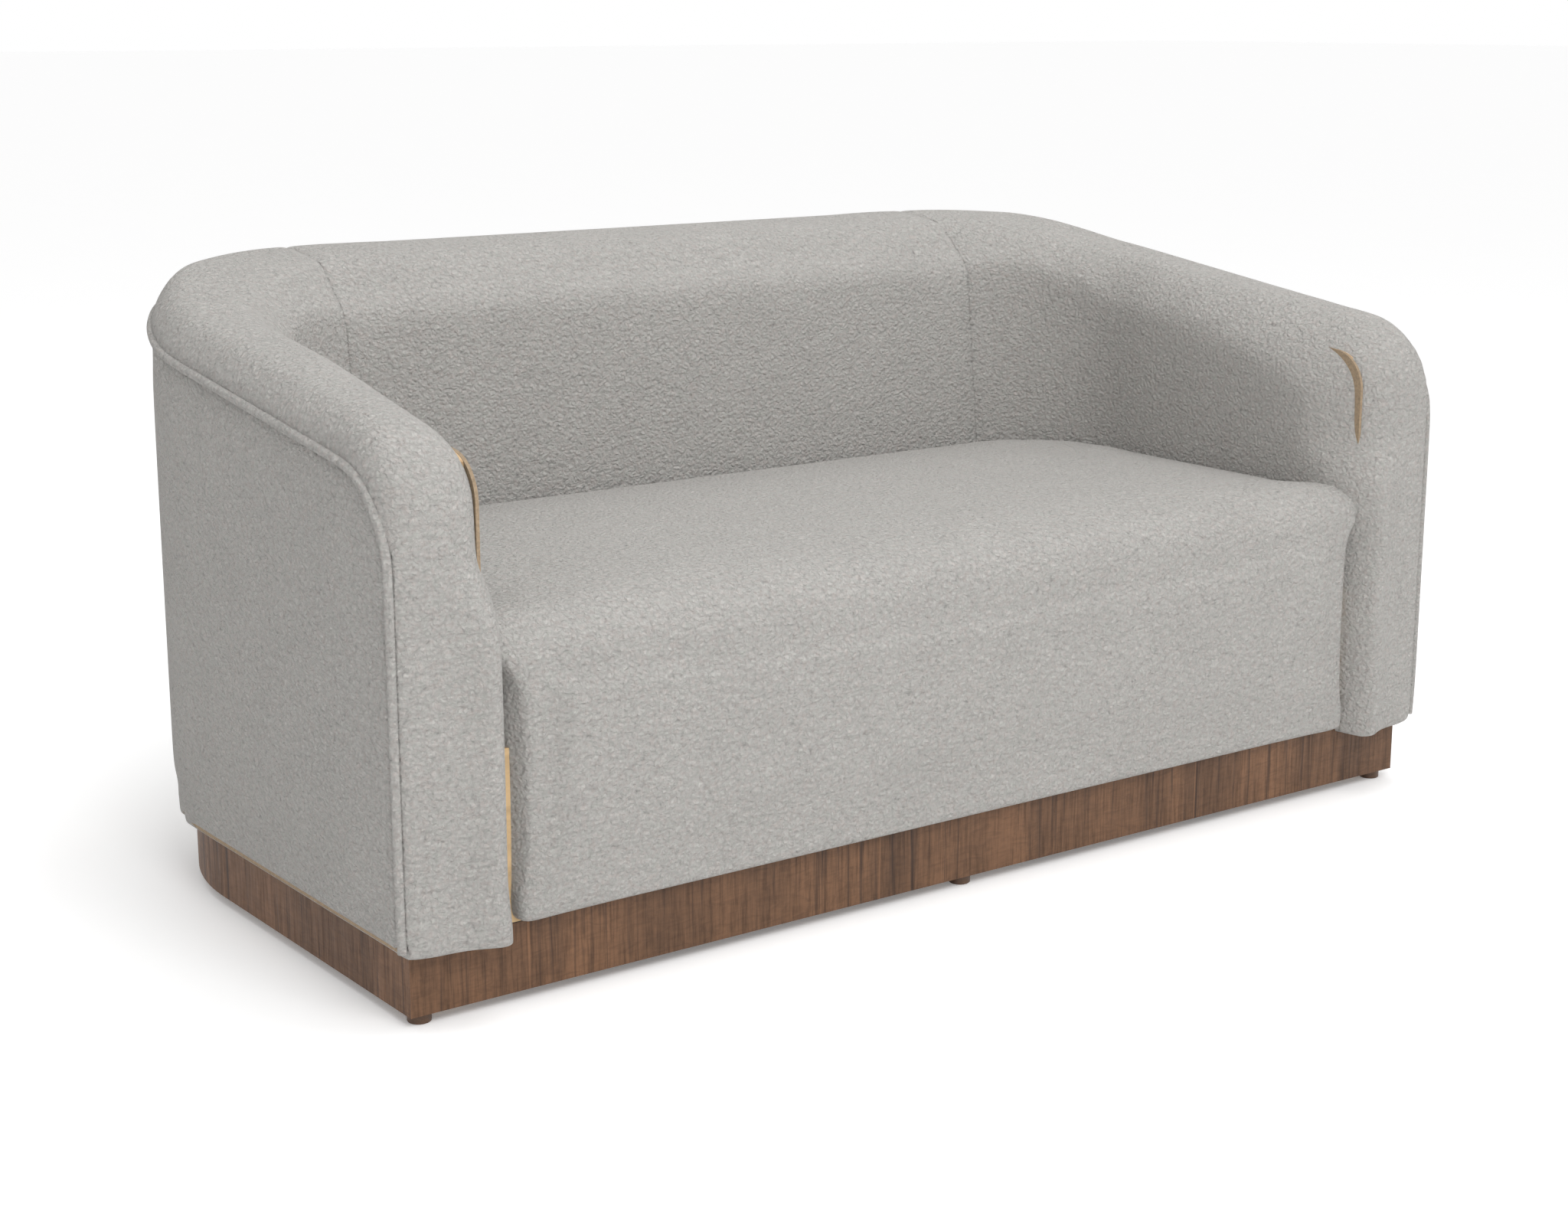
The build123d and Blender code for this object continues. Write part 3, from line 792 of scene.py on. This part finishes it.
class SETTEE_OT_upholster(bpy.types.Operator):
    """Make the covers of the arms and the back, and the piping round them"""

    bl_idname = "settee.upholster"
    bl_label = "Upholster arms and back"

    def execute(self, context):
        shape = context.scene.settee_upholstery
        body = body_block()
        add_modifier(body, "REMESH", mode="VOXEL", voxel_size=shape.grain, adaptivity=0)
        for vertex in body.data.vertices:
            place = round_between(
                vertex.co, from_inside, from_profile, inner_radius(vertex.co)
            )
            vertex.co = round_between(
                place, from_outside, from_profile, outer_edge_radius(place)
            )
        soften(body, shape.softness, shape.grain, body_softness)
        push(body, arm_move)
        swell(body, body_cap)
        add_modifier(body, "SUBSURF", levels=1, render_levels=1)
        for side in (-1, 1):
            for offset in (-0.004, 0, 0.004):
                select_in(body, "FACE", lambda face: True)
                bpy.ops.mesh.bisect(plane_co=(side * SEAM_X + offset, 0, 0), plane_no=(1, 0, 0))
                leave_edit()
        shade_soft(body)
        body.data.update()
        tree = BVHTree.FromPolygons(
            [v.co for v in body.data.vertices], [tuple(p.vertices) for p in body.data.polygons]
        )
        path, normals = settle_on(tree, seam_path())
        distance = distances_to(path)
        select_in(body, "FACE", lambda face: distance(face.center) < 0.02)
        bpy.ops.mesh.subdivide(number_cuts=1)
        leave_edit()
        press_seams(body, distance)
        make_piping(path, normals)
        cloth = cloth_material()
        body.data.materials.clear()
        names = {
            "outside_left": ("left_outside_fabric", "left_outside_cover"),
            "outside_right": ("right_outside_fabric", "right_outside_cover"),
            "outside_back": ("back_outside_fabric", "back_outside_cover"),
            "inside_left": ("left_arm_fabric", "left_arm_cover", "left_arm_foam"),
            "inside_right": ("right_arm_fabric", "right_arm_cover", "right_arm_foam"),
        }
        zones = {}
        for face in body.data.polygons:
            zones[face.index] = cloth_zone(face.center, seam_height)
        pieces = [(body, ["inside_back_cover", "back_foam"])]
        for zone, (name, *nodes) in names.items():
            piece = part_off(body, name, lambda face: zones[face.index] == zone)
            zones = {
                face.index: cloth_zone(face.center, seam_height) for face in body.data.polygons
            }
            pieces.append((piece, nodes))
        body.name = "inside_back_fabric"
        for piece, nodes in pieces:
            line_with_backing(piece, FABRIC)
            shade_soft(piece)
            piece.data.materials.clear()
            piece.data.materials.append(cloth)
            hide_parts(*nodes)
            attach(piece, "root")
        return {"FINISHED"}


def make_piping(path, normals):
    """A round roll of cloth along the seam."""
    seams = settings().settee_seams
    curve = bpy.data.curves.new("piping_route", "CURVE")
    curve.dimensions = "3D"
    curve.bevel_depth = seams.piping / 2
    curve.bevel_resolution = 4
    curve.use_fill_caps = True
    spline = curve.splines.new("POLY")
    spline.points.add(len(path) - 1)
    for knot, place, normal in zip(spline.points, path, normals):
        knot.co = (*(place - normal * seams.sunk), 1)
    roll = bpy.data.objects.new("piping_roll", curve)
    bpy.context.scene.collection.objects.link(roll)
    pick(roll)
    bpy.ops.object.convert(target="MESH")
    roll = bpy.context.object
    roll.data.name = "piping_roll"
    shade_soft(roll)
    roll.data.materials.clear()
    roll.data.materials.append(cloth_material())
    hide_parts("piping")
    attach(roll, "root")
    return roll


# ---------------------------------------------------------------- seat
def seat_softness(place):
    """Full in the middle of the seat's nose, little on the other edges."""
    pad = settings().settee_seat
    behind = max(0.0, place.y - SEAT_LOW.y - 0.03)
    below = max(0.0, SEAT_HIGH.z - place.z - 0.03)
    nose = 1 - smooth_step(0.05, 0.13, hypot(behind, below))
    middle = smooth_step(0.05, 0.30, SEAT_HIGH.x - abs(place.x))
    return max((pad.edge_round / pad.soft_middle) ** 2, nose * middle)


def seat_move(place):
    """Crown the seat, widen its front between the arms and open the slits."""
    pad = settings().settee_seat
    x_share = place.x / SEAT_HIGH.x
    y_share = (place.y - SEAT_LOW.y) / (SEAT_HIGH.y - SEAT_LOW.y)
    crown = pad.crown * (1 - abs(x_share) ** 3) * min(1.0, 5 * y_share * (1 - y_share))
    on_top = smooth_step(SEAT_HIGH.z - 0.06, SEAT_HIGH.z - 0.02, place.z)
    sag = -0.004 * abs(x_share) ** 6 * on_top

    slit_low, slit_high = BOTTOM + 0.035, SEAT_HIGH.z - 0.020
    height = min(1.0, max(0.0, (place.z - slit_low) / (slit_high - slit_low)))
    behind = place.y - SEAT_LOW.y
    opening = pad.slit * sqrt(4 * height * (1 - height)) * (1 - smooth_step(0.008, 0.028, behind))
    at_side = 1 - smooth_step(0.0, 0.035, SEAT_HIGH.x - abs(place.x))
    at_front = 1 - smooth_step(0.05, 0.14, behind)
    upper = smooth_step(SEAT_HIGH.z - 0.085, SEAT_HIGH.z - 0.01, place.z)
    outward = (pad.spread + pad.upper_spread * upper - opening) * at_side * at_front
    return (outward if place.x > 0 else -outward, 0, crown * on_top + sag)


class SETTEE_OT_seat(bpy.types.Operator):
    """Make the seat pad with its one-piece cover"""

    bl_idname = "settee.seat"
    bl_label = "Upholster seat"

    def execute(self, context):
        shape = context.scene.settee_upholstery
        pad = context.scene.settee_seat
        inset = 0.002
        lean = tan(shape.back_rake)
        low = (SEAT_LOW.x + inset, SEAT_LOW.y + inset, BOTTOM)
        high = (SEAT_HIGH.x - inset, SEAT_HIGH.y - inset, SEAT_HIGH.z - inset)
        seat = add_block("seat_fabric", low, high)

        def front_top(edge):
            ends = edge_ends(seat, edge)
            return all(end.z > high[2] - 1e-4 and end.y < low[1] + 1e-4 for end in ends)

        select_in(seat, "EDGE", front_top)
        bpy.ops.mesh.bevel(offset=pad.nose_round, segments=8, affect="EDGES")
        leave_edit()
        round_upright_edges(seat, high[1], shape.inside_corner, 16)
        select_in(seat, "VERT", lambda v: v.co.z < BOTTOM + 1e-4 and v.co.y > 0)
        bpy.ops.transform.translate(value=(0, -(high[2] - BOTTOM) * lean, 0))
        leave_edit()
        add_modifier(seat, "REMESH", mode="VOXEL", voxel_size=0.008, adaptivity=0)
        soften(seat, pad.soft_middle, 0.008, seat_softness)
        push(seat, seat_move)
        swell(seat, lambda place: 0.004)
        add_modifier(seat, "SUBSURF", levels=1, render_levels=1)
        hidden = DECK_TOP - 0.02
        select_in(
            seat, "FACE",
            lambda face: face.center.z < hidden and face.center.y > SEAT_LOW.y + 0.05,
        )
        bpy.ops.mesh.delete(type="FACE")
        leave_edit()
        line_with_backing(seat, FABRIC)
        shade_soft(seat)
        seat.data.materials.clear()
        seat.data.materials.append(cloth_material())
        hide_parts("seat_cover", "seat_foam", "seat_front_foam")
        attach(seat, "root")
        return {"FINISHED"}


# ---------------------------------------------------------------- materials
def new_material(name):
    """An empty node material, its tree, its shader and its Object coordinates."""
    material = bpy.data.materials.new(name)
    material.use_nodes = True
    tree = material.node_tree
    tree.nodes.clear()
    output = tree.nodes.new("ShaderNodeOutputMaterial")
    shader = tree.nodes.new("ShaderNodeBsdfPrincipled")
    tree.links.new(shader.outputs[0], output.inputs["Surface"])
    place = tree.nodes.new("ShaderNodeTexCoord").outputs["Object"]
    return material, tree, shader, place


def stretched(tree, place, scale, turn=(0, 0, 0)):
    """Object coordinates scaled, and turned, for a pattern."""
    mapping = tree.nodes.new("ShaderNodeMapping")
    mapping.inputs["Scale"].default_value = scale
    mapping.inputs["Rotation"].default_value = turn
    tree.links.new(place, mapping.inputs["Vector"])
    return mapping.outputs[0]


def noise(tree, vector, scale, detail=2.0, roughness=0.5, distortion=0.0):
    node = tree.nodes.new("ShaderNodeTexNoise")
    node.inputs["Scale"].default_value = scale
    node.inputs["Detail"].default_value = detail
    node.inputs["Roughness"].default_value = roughness
    node.inputs["Distortion"].default_value = distortion
    tree.links.new(vector, node.inputs["Vector"])
    return node.outputs["Fac"]


def ramp(tree, value, stops):
    """A colour ramp with (position, colour) stops."""
    node = tree.nodes.new("ShaderNodeValToRGB")
    points = node.color_ramp.elements
    while len(points) < len(stops):
        points.new(0.5)
    for point, (position, colour) in zip(points, stops):
        point.position = position
        point.color = (*colour, 1) if len(colour) == 3 else colour
    tree.links.new(value, node.inputs["Fac"])
    return node.outputs["Color"]


def calculate(tree, operation, first, second):
    node = tree.nodes.new("ShaderNodeMath")
    node.operation = operation
    for socket, value in zip(node.inputs, (first, second)):
        if isinstance(value, (int, float)):
            socket.default_value = value
        else:
            tree.links.new(value, socket)
    return node.outputs[0]


def mixed(tree, share, first, second, blend="MIX"):
    node = tree.nodes.new("ShaderNodeMix")
    node.data_type = "RGBA"
    node.blend_type = blend
    for name, value in (("Factor", share), ("A", first), ("B", second)):
        socket = [s for s in node.inputs if s.name == name and (name == "Factor" or s.type == "RGBA")][0]
        if isinstance(value, (int, float)):
            socket.default_value = value
        elif isinstance(value, tuple):
            socket.default_value = (*value, 1)
        else:
            tree.links.new(value, socket)
    return [s for s in node.outputs if s.type == "RGBA"][0]


def bump(tree, shader, height, strength, distance):
    node = tree.nodes.new("ShaderNodeBump")
    node.inputs["Strength"].default_value = strength
    node.inputs["Distance"].default_value = distance
    tree.links.new(height, node.inputs["Height"])
    tree.links.new(node.outputs[0], shader.inputs["Normal"])


def shades(colour, factor):
    return tuple(channel * factor for channel in colour)


def cloth_material():
    """Looped, nubby cloth: round loops in uneven rows, with soft mottling, painted shade in the hollows
    between the loops and a painted highlight on their tops.
    """
    if "looped_cloth" in bpy.data.materials:
        return bpy.data.materials["looped_cloth"]
    finish = settings().settee_finish
    material, tree, shader, place = new_material("looped_cloth")
    per_metre = 1 / finish.loop
    warped = tree.nodes.new("ShaderNodeVectorMath")
    warped.operation = "ADD"
    wander = tree.nodes.new("ShaderNodeTexNoise")
    wander.inputs["Scale"].default_value = per_metre * 0.45
    wander.inputs["Detail"].default_value = 2
    shift = tree.nodes.new("ShaderNodeVectorMath")
    shift.operation = "SCALE"
    shift.inputs["Scale"].default_value = finish.loop * 1.4
    tree.links.new(place, wander.inputs["Vector"])
    tree.links.new(wander.outputs["Color"], shift.inputs[0])
    tree.links.new(place, warped.inputs[0])
    tree.links.new(shift.outputs[0], warped.inputs[1])
    loops = tree.nodes.new("ShaderNodeTexVoronoi")
    loops.feature = "SMOOTH_F1"
    loops.inputs["Scale"].default_value = per_metre
    loops.inputs["Smoothness"].default_value = 0.6
    loops.inputs["Randomness"].default_value = 1.0
    tree.links.new(warped.outputs[0], loops.inputs["Vector"])
    round_loop = calculate(tree, "SUBTRACT", 1.0, loops.outputs["Distance"])
    curls = noise(tree, stretched(tree, warped.outputs[0], (0.75, 0.75, 1.25)), per_metre, 5, 0.66, 0.4)
    fuzz = noise(tree, place, per_metre * 5, 2, 0.6)
    broad = noise(tree, place, 14, 3, 0.55)
    round_part = calculate(tree, "MULTIPLY", round_loop, 0.5)
    curled_part = calculate(tree, "MULTIPLY", curls, 0.9)
    fuzzy_part = calculate(tree, "MULTIPLY", fuzz, 0.12)
    height = calculate(tree, "ADD", round_part, calculate(tree, "ADD", curled_part, fuzzy_part))
    # Painted shade and highlight: the colour falls to the hollow shade between the loops and rises to 1.1
    # times the cloth colour on the loop tops, following the same height as the bump.
    tone = ramp(tree, height, [
        (0.38, tuple(finish.painted_hollow_shade)), (0.62, tuple(finish.cloth)),
        (0.85, shades(finish.cloth, 1.1)),
    ])
    tint = ramp(tree, noise(tree, place, per_metre * 0.8, 3, 0.6), [
        (0.35, (0.965, 0.99, 0.975)), (0.5, (1, 1, 1)), (0.66, (1.0, 0.955, 0.945)),
    ])
    patches = ramp(tree, broad, [(0.3, (0.965, 0.965, 0.965)), (0.7, (1.02, 1.02, 1.02))])
    colour = mixed(tree, 1.0, mixed(tree, 1.0, tone, tint, "MULTIPLY"), patches, "MULTIPLY")
    tree.links.new(colour, shader.inputs["Base Color"])
    shader.inputs["Roughness"].default_value = 0.95
    shader.inputs["Specular IOR Level"].default_value = 0.15
    shader.inputs["Sheen Weight"].default_value = 0.25
    shader.inputs["Sheen Roughness"].default_value = 0.6
    bump(tree, shader, height, 1.0, finish.relief)
    return material


def walnut_material(name, seed=0.0):
    """Satin walnut laid with its grain upright: fine lines, sparse dark streaks, saw marks."""
    finish = settings().settee_finish
    material, tree, shader, place = new_material(name)
    moved = tree.nodes.new("ShaderNodeVectorMath")
    moved.operation = "ADD"
    moved.inputs[1].default_value = (seed, seed * 0.7, seed * 0.3)
    tree.links.new(place, moved.inputs[0])
    base = moved.outputs[0]
    main, dark = tuple(finish.walnut), tuple(finish.walnut_dark)
    broad = noise(tree, stretched(tree, base, (11, 11, 1.6)), 1.0, 3, 0.55, 0.4)
    fine = noise(tree, stretched(tree, base, (230, 230, 14)), 1.0, 4, 0.7, 0.2)
    figure = noise(tree, stretched(tree, base, (38, 38, 120)), 1.0, 3, 0.6, 1.2)
    streaks = noise(tree, stretched(tree, base, (88, 88, 2.4)), 1.0, 4, 0.66, 0.5)
    pale = noise(tree, stretched(tree, base, (60, 60, 1.2)), 1.0, 2, 0.5, 0.2)
    wood = ramp(tree, broad, [
        (0.30, shades(main, 0.72)), (0.5, main), (0.70, shades(main, 1.35)),
    ])
    lines = ramp(tree, fine, [(0.34, (0.62, 0.6, 0.58)), (0.5, (1, 1, 1)), (0.68, (1.22, 1.2, 1.17))])
    wood = mixed(tree, 0.9, wood, lines, "MULTIPLY")
    flecks = ramp(tree, figure, [(0.34, (0.78, 0.76, 0.74)), (0.52, (1, 1, 1)), (0.7, (1.15, 1.15, 1.14))])
    wood = mixed(tree, 0.8, wood, flecks, "MULTIPLY")
    streak = ramp(tree, streaks, [(0.33, (0.95, 0.95, 0.95)), (0.37, (0.6, 0.6, 0.6)), (0.45, (0, 0, 0))])
    wood = mixed(tree, streak, wood, dark)
    glint = ramp(tree, pale, [(0.70, (0, 0, 0)), (0.735, (0.5, 0.5, 0.5))])
    wood = mixed(tree, glint, wood, shades(main, 2.1))
    tree.links.new(wood, shader.inputs["Base Color"])
    rough = ramp(tree, fine, [(0.3, (0.66, 0.66, 0.66)), (0.7, (0.46, 0.46, 0.46))])
    tree.links.new(rough, shader.inputs["Roughness"])
    shader.inputs["Specular IOR Level"].default_value = 0.35
    streak_part = calculate(tree, "MULTIPLY", streaks, 0.5)
    fine_part = calculate(tree, "MULTIPLY", fine, 0.5)
    height = calculate(tree, "ADD", streak_part, fine_part)
    height = calculate(tree, "ADD", height, calculate(tree, "MULTIPLY", figure, 0.35))
    bump(tree, shader, height, 0.5, 0.0016)
    return material


def plain_wood(name, colour, along, ply=False):
    """Bare frame wood with its grain along one axis, or plywood with its layers."""
    material, tree, shader, place = new_material(name)
    scale = [60.0, 60.0, 60.0]
    scale["XYZ".index(along)] = 4.0
    grain = noise(tree, stretched(tree, place, scale), 1.0, 4, 0.6, 0.4)
    tone = ramp(tree, grain, [(0.3, shades(colour, 0.72)), (0.55, colour), (0.75, shades(colour, 1.15))])
    if ply:
        layers = noise(tree, stretched(tree, place, (0.5, 0.5, 450)), 1.0, 1, 0.5)
        glue_lines = ramp(tree, layers, [(0.42, (0.7, 0.62, 0.55)), (0.55, (1, 1, 1))])
        tone = mixed(tree, 0.6, tone, glue_lines, "MULTIPLY")
    tree.links.new(tone, shader.inputs["Base Color"])
    shader.inputs["Roughness"].default_value = 0.7
    bump(tree, shader, grain, 0.25, 0.0008)
    return material


def speckled(name, colour, roughness, scale, metallic=0.0, strength=0.3, spread=0.25):
    """A finish with fine uneven tone, for foam, board, metal, plastic and dust cloth."""
    material, tree, shader, place = new_material(name)
    grain = noise(tree, place, scale, 4, 0.65)
    tone = ramp(tree, grain, [
        (0.3, shades(colour, 1 - spread)), (0.5, colour), (0.7, shades(colour, 1 + spread)),
    ])
    tree.links.new(tone, shader.inputs["Base Color"])
    shader.inputs["Roughness"].default_value = roughness
    shader.inputs["Metallic"].default_value = metallic
    bump(tree, shader, grain, strength, 0.0006)
    return material


def woven(name, colour, pitch):
    """Straps and deck cloth: a plain weave of two crossing waves."""
    material, tree, shader, place = new_material(name)
    waves = []
    for direction in ("X", "Z"):
        wave = tree.nodes.new("ShaderNodeTexWave")
        wave.bands_direction = direction
        wave.inputs["Scale"].default_value = 1 / pitch
        wave.inputs["Distortion"].default_value = 0.4
        tree.links.new(place, wave.inputs["Vector"])
        waves.append(wave.outputs["Fac"])
    height = calculate(tree, "MULTIPLY", waves[0], waves[1])
    tone = ramp(tree, height, [(0.1, shades(colour, 0.55)), (0.7, colour)])
    tree.links.new(tone, shader.inputs["Base Color"])
    shader.inputs["Roughness"].default_value = 0.85
    bump(tree, shader, height, 0.4, 0.0008)
    return material


def paint(node, material):
    """Give a CAD node this material."""
    slots = bpy.data.objects[node].material_slots
    for slot in slots:
        slot.material = material
    if not slots:
        bpy.data.objects[node].data.materials.append(material)


class SETTEE_OT_plinth(bpy.types.Operator):
    """Finish the plinth's boards in walnut and its glides in dark plastic"""

    bl_idname = "settee.plinth"
    bl_label = "Finish plinth"

    def execute(self, context):
        boards = (
            "plinth_front_board", "plinth_left_board", "plinth_right_board",
            "plinth_left_corner", "plinth_right_corner", "plinth_back_board",
        )
        for number, board in enumerate(boards):
            paint(board, walnut_material(f"walnut_{number + 1}", seed=number * 0.37))
        paint("floor_glides", speckled("glide_plastic", (0.085, 0.042, 0.02), 0.4, 900))
        return {"FINISHED"}


class SETTEE_OT_inside(bpy.types.Operator):
    """Finish what the covers hide: frame, springs, foam, boards, straps and cloths"""

    bl_idname = "settee.inside"
    bl_label = "Finish inside"

    def execute(self, context):
        pine = plain_wood("pine", (0.55, 0.38, 0.2), "X")
        ply = plain_wood("plywood", (0.5, 0.35, 0.2), "Y", ply=True)
        by_slot = {
            "frame_plywood": ply,
            "brace_pine": pine,
            "upholstery_foam": speckled("foam", (0.72, 0.66, 0.47), 0.95, 700, spread=0.12),
            "grey_board": speckled("fibreboard", (0.27, 0.2, 0.13), 0.9, 300),
            "webbing": woven("elastic_webbing", (0.3, 0.24, 0.15), 0.004),
            "dust_cloth": speckled("dust_cloth", (0.012, 0.012, 0.013), 0.95, 500, spread=0.4),
            "tie_wire_paper": speckled("paper_wire", (0.36, 0.28, 0.17), 0.8, 800),
            "spring_steel": speckled("bright_steel", (0.5, 0.5, 0.5), 0.3, 200, 1.0, 0.1, 0.1),
        }
        for row in frame["record"]["subparts"]:
            if row["material_slot"] in by_slot:
                paint(row["node"], by_slot[row["material_slot"]])
        return {"FINISHED"}


# ---------------------------------------------------------------- studio
def area_light(name, place, target, size, watts, colour=(1, 1, 1)):
    light = bpy.data.lights.new(name, "AREA")
    light.shape = "RECTANGLE"
    light.size, light.size_y = size
    light.energy = watts
    light.color = colour
    lamp = bpy.data.objects.new(name, light)
    bpy.context.scene.collection.objects.link(lamp)
    lamp.location = place
    lamp.rotation_euler = (Vector(target) - Vector(place)).to_track_quat("-Z", "Y").to_euler()
    return lamp


def make_sky(shade):
    """A white surround that is dimmer on the left."""
    world = bpy.data.worlds.new("studio_air")
    world.use_nodes = True
    tree = world.node_tree
    sky = tree.nodes["Background"]
    split = tree.nodes.new("ShaderNodeSeparateXYZ")
    tree.links.new(tree.nodes.new("ShaderNodeTexCoord").outputs["Generated"], split.inputs[0])
    across = calculate(tree, "MULTIPLY_ADD", split.outputs["X"], 0.5)
    across.node.inputs[2].default_value = 0.5
    tone = ramp(tree, across, [(0.08, (shade, shade, shade)), (0.52, (1, 1, 1))])
    tree.links.new(tone, sky.inputs["Color"])
    sky.inputs["Strength"].default_value = 1.0
    bpy.context.scene.world = world


class SETTEE_OT_stage(bpy.types.Operator):
    """Set up the floor, the soft light and the camera"""

    bl_idname = "settee.stage"
    bl_label = "Set up studio"

    def execute(self, context):
        studio = context.scene.settee_studio
        deselect()
        bpy.ops.mesh.primitive_plane_add(size=120, location=(0, 0, 0))
        floor = bpy.context.object
        floor.name = "studio_floor"
        material, tree, shader, place = new_material("pale_floor")
        tone = ramp(tree, noise(tree, place, 3, 2, 0.5), [
            (0.3, shades(studio.floor, 0.995)), (0.7, tuple(studio.floor)),
        ])
        tree.links.new(tone, shader.inputs["Base Color"])
        shader.inputs["Roughness"].default_value = 0.9
        shader.inputs["Specular IOR Level"].default_value = 0.1
        shader.inputs["Emission Color"].default_value = (1, 1, 1, 1)
        shader.inputs["Emission Strength"].default_value = 0.16
        floor.data.materials.append(material)

        make_sky(studio.shade)
        area_light("key_light", (-0.9, -3.2, 2.9), (0, 0, 0.4), (2.2, 1.6), studio.key)
        area_light("top_light", (0.5, -0.4, 3.4), (0.1, 0.0, 0.4), (2.4, 1.8), studio.top)
        context.scene.view_settings.view_transform = "Standard"

        lens = bpy.data.cameras.new("studio_camera")
        lens.sensor_width = 36
        lens.sensor_fit = "HORIZONTAL"
        lens.lens = studio.lens
        lens.clip_end = 100
        camera = bpy.data.objects.new("studio_camera", lens)
        context.scene.collection.objects.link(camera)
        camera.location = studio.camera
        camera.rotation_euler = (pi / 2 - studio.elevation, 0, studio.azimuth)
        context.scene.camera = camera
        return {"FINISHED"}


class SETTEE_PT_panel(bpy.types.Panel):
    """Sidebar panel with the settee's sizes and its making steps"""

    bl_idname = "SETTEE_PT_panel"
    bl_label = "Settee"
    bl_space_type = "VIEW_3D"
    bl_region_type = "UI"
    bl_category = "Settee"

    def draw(self, context):
        for group in GROUPS:
            box = self.layout.box()
            box.label(text=group)
            values = getattr(context.scene, group)
            for name in values.__annotations__:
                box.prop(values, name)
        for step in STEPS:
            self.layout.operator(step.bl_idname)


GROUPS = {
    "settee_upholstery": SetteeUpholstery,
    "settee_seams": SetteeSeams,
    "settee_seat": SetteeSeat,
    "settee_finish": SetteeFinish,
    "settee_studio": SetteeStudio,
}
STEPS = (
    SETTEE_OT_upholster, SETTEE_OT_seat, SETTEE_OT_plinth, SETTEE_OT_inside, SETTEE_OT_stage,
)


def register():
    for cls in (*GROUPS.values(), *STEPS, SETTEE_PT_panel):
        bpy.utils.register_class(cls)
    for name, group in GROUPS.items():
        setattr(bpy.types.Scene, name, PointerProperty(type=group))


def unregister():
    for name in GROUPS:
        delattr(bpy.types.Scene, name)
    for cls in reversed((*GROUPS.values(), *STEPS, SETTEE_PT_panel)):
        bpy.utils.unregister_class(cls)


def main():
    register()
    bpy.ops.settee.upholster()
    bpy.ops.settee.seat()
    bpy.ops.settee.plinth()
    bpy.ops.settee.inside()
    bpy.ops.settee.stage()
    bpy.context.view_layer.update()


if __name__ == "__main__":
    main()
